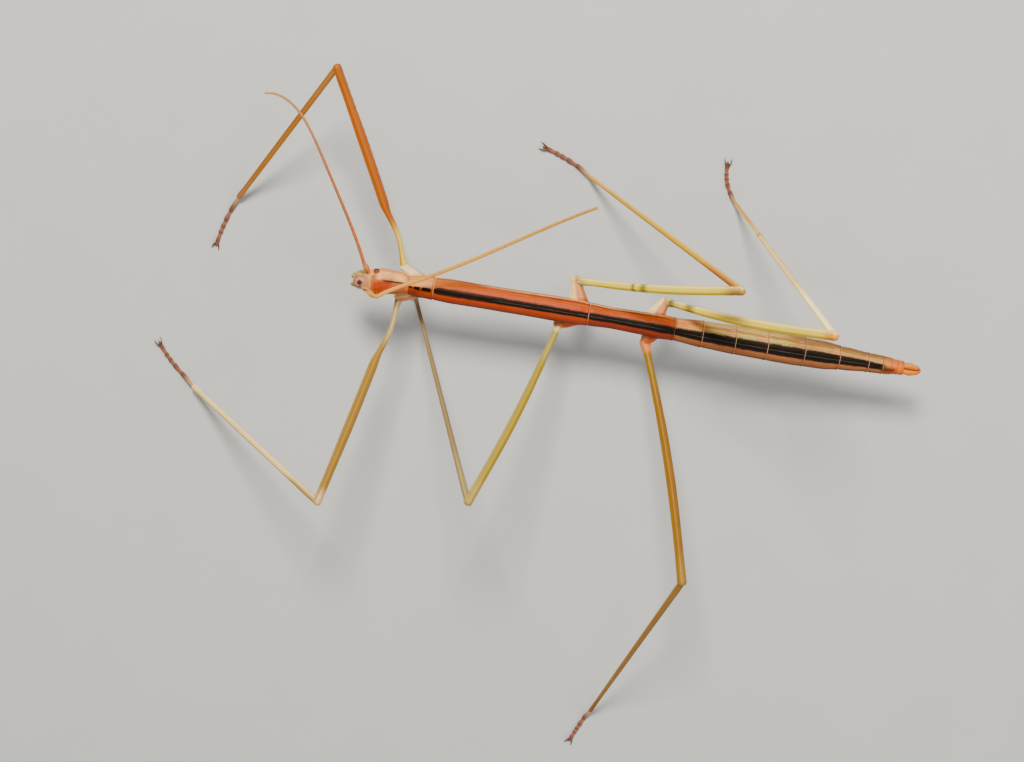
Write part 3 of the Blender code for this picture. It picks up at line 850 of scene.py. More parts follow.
@dataclass(frozen=True)
class FootFinish:
    """Dull red-brown foot joints with pale rings between them and tiny hairs' roughness."""

    dark: Triple = (96, 54, 36)
    warm: Triple = (160, 98, 62)
    pale: Triple = (206, 164, 118)

    @cache
    def dress(self) -> bpy.types.Material:
        """Mix the material.

        Returns:
            The material.
        """
        b = Bench("foot_finish")
        joint, over, share = b.readings("joint over share")
        fleck, cloud = b.noise(0.0005), b.noise(0.004)
        colour = Paint(b, self.warm).coats(
            (self.dark, joint.ramp(0.3, 0.85) * 0.8),
            (self.pale, share.ramp(0.32, 0.05) * 0.8),
            (self.dark, joint.ramp(0.95, 1.0) * 0.8),
            (self.pale, over.ramp(-0.2, -0.8) * 0.35))
        colour = colour.times(0.7 + cloud * 0.35 + fleck * 0.25)
        return b.finish(colour, 0.55 + fleck * 0.2, fleck, 0.07 * MM, Sheen_Weight=0.15)


@dataclass(frozen=True)
class FeelerFinish:
    """Feeler that fades from orange to tan, ringed by its joints."""

    name: str
    root: Triple
    middle: Triple
    tip: Triple

    def dress(self) -> bpy.types.Material:
        """Mix the material.

        Returns:
            The material.
        """
        b = Bench(self.name)
        share, joint, thick = b.readings("share joint thick")
        fleck, cloud = b.noise(0.0006), b.noise(0.004)
        colour = Paint(b, self.middle).coats(
            (self.root, share.ramp(0.34, 0.1).at_least(thick)), (self.tip, share.ramp(0.45, 0.95)))
        colour = colour.times(1.05 - joint.ramp(0.80, 0.98) * 0.38)
        colour = colour.times(0.84 + cloud * 0.2 + fleck * 0.16)
        return b.finish(colour, 0.46 + fleck * 0.16, fleck, 0.04 * MM)


@dataclass(frozen=True)
class MouthFinish:
    """Mouthparts: olive-yellow lobes with dark spots, or a pinkish lip with a purple-brown middle."""

    name: str
    skin: Triple
    spot: Triple
    rim: Triple
    is_lip: bool = False

    def dress(self) -> bpy.types.Material:
        """Mix the material.

        Returns:
            The material.
        """
        b = Bench(self.name)
        fleck, cloud = b.noise(0.0005), b.noise(0.0016)
        if self.is_lip:
            disc = b.readings("disc")[0] + (cloud - 0.5) * 0.5
            coats = (self.rim, disc.near(1.25, 0.4) * 0.75), (self.spot, disc.ramp(1.02, 0.62))
        else:
            share = b.readings("share")[0]
            coats = (self.rim, share.ramp(0.55, 1.0) * 0.5), (self.spot, cloud.ramp(0.52, 0.62) * 0.8)
        colour = Paint(b, self.skin).coats(*coats).times(0.8 + fleck * 0.35)
        return b.finish(colour, 0.36 + fleck * 0.2, fleck, 0.04 * MM, Specular_IOR_Level=0.3)


@dataclass(frozen=True)
class HornFinish:
    """Dark glossy horn of the claws."""

    root: Triple = (120, 62, 34)
    tip: Triple = (38, 18, 12)

    @cache
    def dress(self) -> bpy.types.Material:
        """Mix the material.

        Returns:
            The material.
        """
        b = Bench("claw_horn")
        share, fleck = b.readings("share")[0], b.noise(0.0004)
        colour = Paint(b, self.root).coats((self.tip, share.ramp(0.1, 0.6))).times(0.85 + fleck * 0.3)
        return b.finish(colour, 0.26 + fleck * 0.1, fleck, 0.02 * MM)


@dataclass(frozen=True)
class EyeFinish:
    """Brown compound eye, finely faceted, with a pale lower edge."""

    deep: Triple = (84, 44, 36)
    warm: Triple = (142, 88, 64)
    pale: Triple = (206, 150, 104)
    facet: float = 0.085 * MM

    def dress(self) -> bpy.types.Material:
        """Mix the material.

        Returns:
            The material.
        """
        b = Bench("eye_finish")
        over, facing = b.readings("over facing")
        cells = b.node("ShaderNodeTexVoronoi", {"feature": "F1"},
                       {"Vector": b.position(), "Scale": 1 / self.facet})
        bead = Signal(b, cells.outputs["Distance"])
        colour = Paint(b, self.warm).coats(
            (self.deep, (over + (b.noise(0.0005) - 0.5) * 0.6).ramp(-0.2, 0.35)),
            (self.pale, facing.ramp(0.22, 0.05) * 0.8)).times(1.0 - bead * 0.25)
        return b.finish(colour, 0.34, 1 - bead, 0.012 * MM, Specular_IOR_Level=0.25)


# --- trunk ------------------------------------------------------------------------------------
@dataclass
class Trunk:
    """Thorax, abdomen and last segments as three runs of one skin, split where segments meet."""

    sides: int = 112
    step: float = 0.32 * MM
    rim_rise: float = 0.12 * MM
    groove: float = 0.16 * MM
    groove_width: float = 0.4 * MM
    rim_place: float = 0.35 * MM
    rim_width: float = 0.45 * MM
    rim_groove_width: float = 0.16 * MM
    rib_place: float = 1.3 * MM
    rib_reach: float = 1.0 * MM
    full_relief_length: float = 6 * MM
    tuck: float = 0.6 * MM
    seam: float = 0.04 * MM
    dive: float = 0.5 * MM
    # ridges and furrows along the body: height in mm, place across, width, and heights between
    lengthwise: tuple[tuple[float, ...], ...] = (
        (0.07, 0.9, 0.05, -0.1, 1.0), (-0.05, 0.80, 0.05, 0.0, 1.0), (-0.05, 0.0, 0.04, 0.0, 1.0),
        (-0.10, 0.0, 0.35, -1.0, 0.0))
    rib_height: float = 0.05 * MM
    wrinkle_height: float = 0.018 * MM
    stripe_right: Curve = (
        (50.0, 0.08), (46.0, 0.14), (41.8, 0.17), (40.0, 0.33), (30.0, 0.33), (10.0, 0.32), (-4.0, 0.26),
        (-9.0, 0.33), (-20.0, 0.34), (-40.0, 0.34), (-46.0, 0.38), (-75.0, 0.39), (-92.0, 0.38), (-99.0, 0.26),
        (-104.0, 0.05))
    stripe_left: Curve = (
        (50.0, 0.09), (46.0, 0.14), (41.8, 0.17), (40.0, 0.22), (10.0, 0.19), (-4.0, 0.17), (-9.0, 0.26),
        (-34.0, 0.28), (-46.0, 0.32), (-75.0, 0.30), (-92.0, 0.32), (-99.0, 0.36), (-104.0, 0.30))
    off_stripe: float = 4.0
    runs: tuple[tuple[str, int, int], ...] = (("thorax", 0, 3), ("abdomen", 3, 10), ("tail", 10, 13))
    nodes: tuple[str, ...] = ("prothorax", "mesothorax", "metathorax", "median_segment",
                              *("abdomen_%d" % n for n in range(2, 11)))
    finish: TrunkFinish = TrunkFinish()

    def relief(self, x: float, angles: np.ndarray, ahead: float, behind: float) -> np.ndarray:
        """How far rims, grooves, ridges and ribs stand out from the plain outline.

        Args:
            x: Station.
            angles: Angles round the ring.
            ahead: Distance from the segment's front border.
            behind: Distance to its hind border.

        Returns:
            Growth in metres for each angle.
        """
        soft = float(smooth((ahead + behind) / self.full_relief_length)) * 0.75 + 0.25
        grooves = bell(ahead, self.groove_width) + bell(behind, self.rim_groove_width)
        rim = bell(behind - self.rim_place, self.rim_width)
        grow = soft * (self.rim_rise * rim - self.groove * grooves)
        left, over = np.cos(angles), np.sin(angles)
        for height, place, width, low, high in self.lengthwise:
            grow = grow + height * MM * bell(np.abs(left) - place, width) * (over > low) * (over < high)
        if x < BODY.borders[2]:
            ribs = bell(behind - self.rib_place, self.rib_reach) * bell(np.abs(left) - 0.58, 0.22)
            grow = grow + self.rib_height * np.sin(left * 38) * ribs
        return grow + self.wrinkle_height * np.sin(left * 46 + 3 * np.sin(x / (7 * MM)))

    def build(self) -> None:
        """Make the three runs."""
        material = self.finish.dress()
        angles = ring_angles(self.sides)
        left, over = np.cos(angles), np.sin(angles)
        borders = (BODY.neck, *BODY.borders)
        for name, first, last in self.runs:
            rings, rows = [], {key: [] for key in ("station", "rim", "stripe")}
            for index in range(first, last):
                front, back = borders[index:index + 2]
                start = front + self.tuck if index == 0 else front - self.seam
                for x in np.linspace(start, back, max(int((front - back) / self.step), 12)):
                    grow = self.relief(x, angles, abs(front - x), x - back)
                    if index == 0:
                        grow = grow - self.dive * float(smooth((x - front) / (0.8 * MM) + 0.5))
                    rings.append([BODY.skin(x, a, g) for a, g in zip(angles, grow)])
                    rows["station"].append(np.full(self.sides, x / MM))
                    rows["rim"].append(np.full(self.sides, (x - back) / MM))
                    halves = [read_curve(edge, x / MM) for edge in (self.stripe_left, self.stripe_right)]
                    share = np.abs(left) / np.where(left > 0, *halves)
                    rows["stripe"].append(np.where(over > 0, share, self.off_stripe))
            draft = Draft(name + "_skin")
            draft.loft(np.array(rings), left=left, over=over, **{k: np.array(row) for k, row in rows.items()})
            draft.build(material, name + "_cuticle", *self.nodes[first:last])


@dataclass
class TailEnd:
    """The two leaf-shaped cerci and the plate below them."""

    sides: int = 40
    steps: int = 40
    lobe_power: float = 2.6
    lobe_tuck: float = 0.5 * MM
    lobe_split: float = 0.05 * MM
    lobe_length: float = 5.5
    plate_steps: int = 64
    plate_front: float = -94.2 * MM
    plate_growth: float = 5.2 * MM
    plate_sunk: float = 0.5 * MM
    plate_front_width: float = 0.56
    plate_start: float = -98.2 * MM
    plate_end: float = -109.6 * MM
    plate_depth: float = 1.75 * MM
    plate_taper: float = 0.72
    plate_edge: float = 0.15 * MM
    plate_width: float = 0.78
    lobe_finish: LimbFinish = LimbFinish(
        "cercus_cuticle", (226, 142, 84), (236, 146, 76), (220, 112, 48), (244, 180, 120), -1,
        pale_share=0.4, base_reach=0.15, end_reach=0.25)
    plate_finish: LimbFinish = LimbFinish(
        "operculum_cuticle", (200, 118, 70), (210, 122, 66), (204, 104, 50), (236, 176, 120), -1,
        pale_share=0.4)

    def cercus(self, side: Side) -> None:
        """Make one lobe of the tail's tip.

        Args:
            side: Which of the two.
        """
        start, end = BODY.borders[-1] + self.lobe_tuck, BODY.tail_tip
        angles = ring_angles(self.sides)
        c, s = np.cos(angles), np.sin(angles)
        bulge = squareness(c, s, self.lobe_power)
        shares, rings = np.sin(np.linspace(0, pi / 2, self.steps)), []
        for t in shares:
            x = start + (end - start) * t
            width, above, below = BODY.radii(max(x, end + 0.05 * MM))
            close = max(max(1 - max((t - 0.86) / 0.14, 0) ** 2, 0) ** 0.5, 0.05)
            tuck = 0.80 + 0.20 * float(smooth(t / 0.45))
            half = (width / 2 - 0.03 * MM) * close * tuck
            high = np.where(s > 0, above * 0.98, below) * close * tuck
            middle = BODY.axis(x) + np.array((0, side.value * (half + self.lobe_split), 0))
            rings.append(middle + crosswise(half * c * bulge, high * s * bulge))
        draft = Draft("cercus_%s_lobe" % side.word)
        share = shares[:, None]
        draft.loft(np.array(rings), way=share * self.lobe_length, share=share, out=c, over=s,
                   crest=0.5 * np.sin(angles * 3))
        draft.build(self.lobe_finish.dress(), "tail_cuticle", "cercus_" + side.word)

    def plate(self) -> None:
        """The boat-shaped plate under the last segments; its front grows out of the belly."""
        angles = ring_angles(self.sides)
        c, s = np.cos(angles), np.sin(angles)
        belly_ahead = BODY.radii(self.plate_front)[2] + 0.07 * MM
        shares, rings = np.linspace(0, 1, self.plate_steps), []
        for share in shares:
            x = self.plate_front + (self.plate_end - self.plate_front) * share
            width, _, belly = BODY.radii(x)
            t = min(max((self.plate_start - x) / (self.plate_start - self.plate_end), 0.0), 1.0)
            free = float(smooth((self.plate_front - x) / self.plate_growth))
            depth = self.plate_depth * (1 - self.plate_taper * t * t) + self.plate_edge
            close = min(1.0, (max(1 - t, 0.002) / 0.2) ** 0.5)
            close *= min(1.0, max((self.plate_front - x) / (0.4 * MM), 0.02)) ** 0.5
            top = belly + GAP * 0.6 - (1 - free) * self.plate_sunk
            bottom = belly_ahead * (1 - free) + (belly + GAP * 0.6 + depth) * free
            half = width * (self.plate_front_width + (self.plate_width - self.plate_front_width) * free)
            low = (bottom - top) * np.where(s < 0, s * (1 + 0.10 * bell(c, 0.18)), 0.12 * s)
            rings.append(BODY.axis(x) - np.array((0, 0, top)) + crosswise(half * c, low) * close)
        draft = Draft("operculum_plate")
        share = shares[:, None]
        draft.loft(np.array(rings), way=share * (self.plate_front - self.plate_end) / MM, share=share, out=c,
                   over=s, crest=0.6 * np.sin(angles * 6))
        draft.build(self.plate_finish.dress(), "tail_cuticle", "operculum")

    def build(self) -> None:
        """Make both lobes and the plate."""
        for side in Side:
            self.cercus(side)
        self.plate()


# --- head -------------------------------------------------------------------------------------
@dataclass(frozen=True)
class HeadLine:
    """Axis and outline of the head, the same as the solids have."""

    length: float = 17.5 * MM
    turn: float = 2.0 * MM
    eye: Triple = (10.1 * MM, 4.2 * MM, 1.95 * MM)
    socket: Triple = (12.4 * MM, 3.1 * MM, 1.35 * MM)
    rings: tuple[tuple[float, ...], ...] = tuple(tuple(v * MM for v in ring) for ring in (
        (0.3, 2.75, 2.5, 2.8), (1.4, 3.25, 3.0, 3.2), (3.9, 3.65, 3.4, 3.5), (7.0, 3.95, 3.55, 3.6),
        (9.7, 4.0, 3.35, 3.6), (11.6, 3.6, 2.85, 3.5), (13.0, 3.15, 2.2, 3.35), (14.2, 2.7, 1.6, 3.1)))

    def point(self, ahead: float, out: float, up: float) -> np.ndarray:
        """Point ahead of the neck, left of the head's own middle and above its axis."""
        turn = self.turn * (ahead / self.length) ** 2
        return BODY.axis(BODY.neck) + np.array((ahead, turn + out, BODY.slope * ahead + up))

    def radii(self, ahead: float) -> Triple:
        """Half width, crown height and depth below at a distance ahead of the neck."""
        places, *sizes = zip(*self.rings)
        return tuple(float(np.interp(ahead, places, size)) for size in sizes)


HEAD = HeadLine()


@dataclass(frozen=True)
class Mound:
    """A swelling, dent or raised ring on each side of the head, in mm and degrees above level.

    Each rise has a height, each crest a reading, and both the radius and the width of their ring.
    """

    ahead: float
    length: float
    angle: float
    stretch: float
    rises: tuple[Triple, ...]
    crests: tuple[Triple, ...] = ()


@dataclass
class HeadShell:
    """Skull capsule with brow ridges, eye and feeler rims, sutures and cheeks."""

    sides: int = 120
    step: float = 0.12 * MM
    front: float = 14.9 * MM
    back: float = -0.5 * MM
    rounding: float = 1.5 * MM
    bulge_power: float = 2.25
    ease: float = 0.6 * MM
    mounds: tuple[Mound, ...] = (
        Mound(10.1, 1.0, 32, 3.7, ((0.20, 1.15, 0.30), (-0.25, 0.0, 0.8)), ((0.6, 1.2, 0.3),)),
        Mound(12.5, 1.0, 38, 3.2, ((0.34, 1.05, 0.32), (-0.2, 0.0, 0.6)), ((0.8, 1.1, 0.35),)),
        Mound(8.0, 2.2, -12, 2.0, ((0.14, 0.0, 1.0),)), Mound(5.0, 2.4, 62, 2.6, ((0.16, 0.0, 1.0),)))
    finish: HeadFinish = HeadFinish()

    def relief(self, ahead: float, angles: np.ndarray) -> tuple[np.ndarray, np.ndarray]:
        """Growth of the skin and how much of it is a raised ridge.

        Args:
            ahead: Distance ahead of the neck, in mm.
            angles: Angles round the ring.

        Returns:
            Growth in mm, and the crest reading from -1 to 1.
        """
        over = np.sin(angles)
        brow_line = 12.1 - 0.65 * (1 + np.cos(angles)) + 0.3 * np.clip(over, 0, 1)
        suture = bell((np.cos(angles) + 0.25) * 3.6, 0.12) * (over > 0)
        marks = [   # shape, growth in mm and crest reading
            (bell(ahead - brow_line, 0.42) * smooth((over - 0.15) / 0.4), 0.24, 0.7),
            (suture * smooth((8.4 - ahead) / 0.8) * smooth((ahead - 0.8) / 0.8), -0.12, -0.5),
            (bell(ahead - 13.3, 0.26) * smooth((over - 0.1) / 0.4), -0.16, -0.5),
            (bell(ahead - 0.85, 0.35), -0.14, 0.0),
            (bell(ahead - 1.5, 0.5), 0.0, 0.3)]
        for sign in (1, -1):
            side = sign * np.angle(np.exp(1j * (angles - (sign < 0) * pi)))
            for mound in self.mounds:
                far = np.hypot((ahead - mound.ahead) / mound.length,
                               (side - radians(mound.angle)) * mound.stretch)
                marks += [(bell(far - radius, width), rise, 0.0) for rise, radius, width in mound.rises]
                marks += [(bell(far - radius, width), 0.0, crest) for crest, radius, width in mound.crests]
            # a furrow beside the crown, one over the cheek, and the arms of the suture behind the brow
            crown = bell(side - radians(66), 0.07) * smooth((7.8 - ahead) / 2)
            cheek = bell(side + radians(28), 0.08) * smooth((ahead - 3) / 2)
            arm = bell(side - radians(90) + 0.16 * np.clip(ahead - 8.2, 0, 4), 0.06)
            marks += [(crown * smooth((ahead - 0.8) / 1.2), -0.10, -0.5), (cheek, -0.10, -0.4),
                      (arm * smooth((ahead - 8.0) / 0.5) * smooth((12.4 - ahead) / 0.6), -0.09, -0.4)]
        grow = sum(rise * shape for shape, rise, _ in marks)
        return grow, np.clip(sum(crest * shape for shape, _, crest in marks), -1, 1)

    def build(self) -> None:
        """Make the capsule."""
        angles = ring_angles(self.sides)
        c, s = np.cos(angles), np.sin(angles)
        bulge = squareness(c, s, self.bulge_power)
        spread = np.linspace(-0.9, 0.9, 7) * MM
        weights = bell(spread, self.ease)
        stations = np.linspace(self.back, self.front, int((self.front - self.back) / self.step))
        rings, crests = [], []
        for ahead in stations:
            near = np.array([HEAD.radii(ahead + d) for d in spread])
            width, above, below = (near * weights[:, None]).sum(0) / weights.sum()
            past = max((ahead - (self.front - self.rounding)) / self.rounding, 0.0)
            close = (1 - past ** 2.2) ** 0.5 * 0.97 + 0.03
            grow, crest = self.relief(ahead / MM, angles)
            half = (above + below) / 2
            rings.append(HEAD.point(ahead, 0.0, (above - below) / 2) + crosswise(
                (width * bulge + grow * MM) * c * close, (half * bulge + grow * MM) * s * close))
            crests.append(crest)
        draft = Draft("head_skin")
        draft.loft(np.array(rings), left=c, over=s, ahead=stations[:, None] / MM, crest=np.array(crests))
        draft.build(self.finish.dress(), "head_cuticle", "head")


@dataclass
class Eyes:
    """Small bulging compound eyes."""

    radii: Triple = (0.94 * MM, 0.56 * MM, 0.64 * MM)
    sink: float = 0.36 * MM
    lean: float = -30
    outward: tuple[float, float] = (0.84, 0.54)
    finish: EyeFinish = EyeFinish()

    def build(self) -> None:
        """Make both eyes."""
        material = self.finish.dress()
        for side in Side:
            ahead, out, up = HEAD.eye
            aside, rise = self.outward
            outward = unit(np.array((0.0, side.value * aside, rise)))
            centre = HEAD.point(ahead, side.value * out, up) - outward * self.sink
            ball = bmesh.new()
            bmesh.ops.create_icosphere(ball, subdivisions=5, radius=1.0)
            over, facing = (ball.verts.layers.float.new(name) for name in ("over", "facing"))
            for vert in ball.verts:
                vert[over] = vert.co.z
                vert[facing] = vert.co.dot(Vector(outward))
            turn = Matrix.Rotation(side.value * radians(self.lean), 4, "X")
            size = Matrix.Diagonal((*self.radii, 1.0))
            bmesh.ops.transform(ball, matrix=Matrix.Translation(centre) @ turn @ size, verts=ball.verts)
            mesh = bpy.data.meshes.new("eye_%s_dome" % side.word)
            ball.to_mesh(mesh)
            ball.free()
            seat(mesh, material, "eye", "eye_" + side.word)


@dataclass
class Mouth:
    """Upper lip, jaws and palps."""

    palp_path: tuple[tuple[float, ...], ...] = tuple(tuple(v * MM for v in joint) for joint in (
        (12.7, 2.1, -3.75, 0.40), (13.3, 2.25, -3.95, 0.48), (15.0, 2.25, -3.4, 0.6), (16.4, 1.95, -2.75, 0.52),
        (17.2, 1.4, -2.35, 0.58), (17.6, 0.7, -2.3, 0.36)))
    # jaw lobes: place, half length, half width and half depth in mm, and how far they turn out
    lobes: tuple[tuple[Triple, Triple, float], ...] = (
        ((15.0, 1.85, -0.7), (1.5, 0.75, 1.0), -12), ((16.2, 1.35, -1.5), (1.1, 0.6, 0.7), -30))
    lobe_dip: float = -12
    lip_middle: float = 14.75 * MM
    lip_back: float = 13.45 * MM
    lip_front: float = 17.0 * MM
    lip_width: float = 1.72 * MM
    lip_top: Curve = ((0, 1.95), (0.35, 1.75), (0.7, 1.15), (1, 0.15))
    lip_low: Curve = ((0, -1.2), (1, -1.3))
    notch: float = 0.30 * MM
    dome: float = 0.10 * MM
    off_disc: float = 3.0
    lip_finish: MouthFinish = MouthFinish("labrum_finish", (196, 140, 116), (92, 52, 60), (226, 182, 160), True)
    lobe_finish: MouthFinish = MouthFinish("mouth_lobe_finish", (196, 178, 112), (84, 70, 40), (214, 196, 150))

    def lip(self) -> None:
        """The lip: a domed shield that slopes down forwards, notched in front."""
        angles = ring_angles(56)
        c, s = np.cos(angles), np.sin(angles)
        rings, disc = [], []
        for t in np.linspace(0, 1, 44):
            ahead = self.lip_back + (self.lip_front - self.lip_back) * t
            width = self.lip_width * sin(pi * (0.12 + 0.79 * t)) ** 0.45
            top, low = (float(np.interp(t, *zip(*curve))) * MM for curve in (self.lip_top, self.lip_low))
            notch = self.notch * bell(c, 0.22) * (s > 0) * smooth((t - 0.62) / 0.3)
            dome = self.dome * np.clip(s, 0, 1) * bell(t - 0.42, 0.25)
            out, up = width * c, ((top - low) / 2 + dome) * s - notch
            rings.append(HEAD.point(ahead, 0.0, (top + low) / 2) + crosswise(out, up))
            disc.append(np.where(s > 0, np.hypot(ahead - self.lip_middle, out) / MM, self.off_disc))
        draft = Draft("labrum_plate")
        draft.loft(np.array(rings), disc=np.array(disc))
        draft.build(self.lip_finish.dress(), "mouthparts", "labrum")

    def side_parts(self, side: Side, material: bpy.types.Material) -> None:
        """Make jaw and palp of one side, in one piece.

        Args:
            side: Which side.
            material: Their finish.
        """
        draft = Draft("mouthparts_" + side.word)
        joints = np.array([HEAD.point(a, side.value * o, u) for a, o, u, _ in self.palp_path])
        line, radii = spline(joints, [joint[3] for joint in self.palp_path], 14)
        way = np.linspace(0, len(joints) - 1, len(line))
        radii = radii * (1 - 0.16 * bell(way - np.round(way), 0.12)) * 1.02
        radii = radii * np.sqrt(np.clip(1 - np.linspace(-1, 1, len(line)) ** 14, 0.02, 1))
        limb_loft(draft, line, radii, radii, 20)
        for (ahead, out, up), (long, wide, deep), aim in self.lobes:
            t = np.linspace(-0.995, 0.995, 22)
            centre = HEAD.point(ahead * MM, side.value * out * MM, up * MM)
            line = centre + t[:, None] * (long * MM * direction(side.value * aim, self.lobe_dip))
            body = np.sqrt(1 - t ** 2) * MM
            limb_loft(draft, line, wide * body, deep * body, 22,
                      lambda w, a: 0.05 * np.sin(w * 6.0) * np.sin(a * 3))
        draft.build(material, "mouthparts", "palp_" + side.word)

    def build(self) -> None:
        """Make the lip and both sides."""
        self.lip()
        material = self.lobe_finish.dress()
        for side in Side:
            self.side_parts(side, material)


# --- feelers ----------------------------------------------------------------------------------
@dataclass(frozen=True)
class FeelerCourse:
    """Course of one feeler; angles in degrees, from +X towards +Y and +Z."""

    length: float
    scape_heading: float
    scape_rise: float
    standoff: float
    heading: float
    sweep: float
    bow: float
    hook: float
    elbow: float
    rise: float
    droop: float
    root_radius: float
    tip_radius: float


@dataclass
class Feeler:
    """Scape, pedicel and the long jointed lash of one side."""

    side: Side
    course: FeelerCourse
    finish: FeelerFinish
    count: int = 28
    scape_length: float = 2.7 * MM
    pedicel_length: float = 1.2 * MM
    scape_radius: float = 0.88 * MM
    pedicel_radius: float = 0.66 * MM
    scape_shape: Curve = ((-0.4, 0.5), (-0.05, 0.55), (0.1, 0.8), (0.4, 1.0), (0.85, 0.92), (0.97, 0.7), (1.0, 0.4))
    pedicel_shape: Curve = ((-0.2, 0.5), (0.05, 0.8), (0.45, 1.0), (0.9, 0.85), (1.1, 0.4))
    joint_length: float = 2.3
    root_dip: float = 0.6 * MM

    def lash(self, start: np.ndarray) -> np.ndarray:
        """Follow the lash.

        Args:
            start: Its first point.

        Returns:
            Points along it.
        """
        c = self.course
        points = [start]
        for k in range(self.count):
            t = (k + 0.5) / self.count
            heading = c.heading + c.sweep * t + c.bow * t * t + c.hook * t ** 8 + c.elbow * (1 - t) ** 12
            points.append(points[-1] + c.length / self.count * direction(heading, c.rise + c.droop * t))
        return np.array(points)

    def build(self) -> None:
        """Make the whole feeler in one piece."""
        c, word = self.course, self.side.word
        aim = direction(c.scape_heading, c.scape_rise)
        ahead, out, up = HEAD.socket
        socket = HEAD.point(ahead, self.side.value * out, up) + aim * c.standoff
        neck = socket + aim * self.scape_length
        draft = Draft("feeler_%s_skin" % word)

        ways = np.linspace(-1.0, self.scape_length / MM, 40) * MM
        radius = self.scape_radius * np.interp(ways / self.scape_length, *zip(*self.scape_shape))
        inward = np.array((0.0, self.side.value * 0.85, 0.5)) * self.root_dip
        line = socket + ways[:, None] * aim - np.clip(-ways / MM, 0, 1)[:, None] ** 2 * inward
        limb_loft(draft, line, radius, radius * 0.9, 28, lambda w, a: 0.04 * np.cos(a * 2), joint=0.2, thick=1.0)
        ways = np.linspace(-0.25, self.pedicel_length / MM + 0.1, 26) * MM
        radius = self.pedicel_radius * np.interp(ways / self.pedicel_length, *zip(*self.pedicel_shape))
        limb_loft(draft, neck + ways[:, None] * aim, radius, radius, 24, joint=0.5, thick=1.0)

        start = neck + aim * (self.pedicel_length - 0.2 * MM)
        line, _ = spline(self.lash(start), [0.0] * (self.count + 1), 12)
        way = distances(line)
        share, joint = way / way[-1], (way / self.joint_length) % 1.0
        radius = c.root_radius + (c.tip_radius - c.root_radius) * share
        radius *= 1 + 0.10 * bell(joint - 0.86, 0.1) - 0.14 * (bell(joint, 0.06) + bell(joint - 1, 0.06))
        radius *= np.sqrt(np.clip(1 - np.clip((share - 0.99) / 0.01, 0, 1) ** 2, 0.03, 1))
        limb_loft(draft, line, radius, radius, 14, joint=joint[:, None], thick=0.0)
        draft.build(self.finish.dress(), "feeler_cuticle", "scape_" + word,
                    "feeler_%s_1" % word, "feeler_%s_2" % word)


# --- legs -------------------------------------------------------------------------------------
@dataclass(frozen=True)
class LegShape:
    """Sizes of one pair of legs in mm; the ridges are a share of the radius."""

    station: float
    femur: float
    tibia: float
    tarsus: float
    femur_widths: tuple[float, ...]
    tibia_widths: Triple
    base_bow: float
    bow: float
    ridges: float
    root_shift: float
    ways: tuple[float, ...] = (0.0, 0.12, 0.24, 0.4, 0.6, 0.88, 0.97)


@dataclass(frozen=True)
class LegPose:
    """How one leg stands; lengths in mm, angles in degrees, the knot as a share of the shin."""

    hip: Triple
    femur_heading: float
    femur_rise: float
    tibia_heading: float
    tarsus_heading: float
    tarsus_turn: float
    swell: tuple[float, float]
    knot: float | None = None


@dataclass(frozen=True)
class LegDress:
    """Finishes of the joints of one leg."""

    coxa: LimbFinish
    femur: LimbFinish
    tibia: LimbFinish
    foot: FootFinish = FootFinish()
    horn: HornFinish = HornFinish()


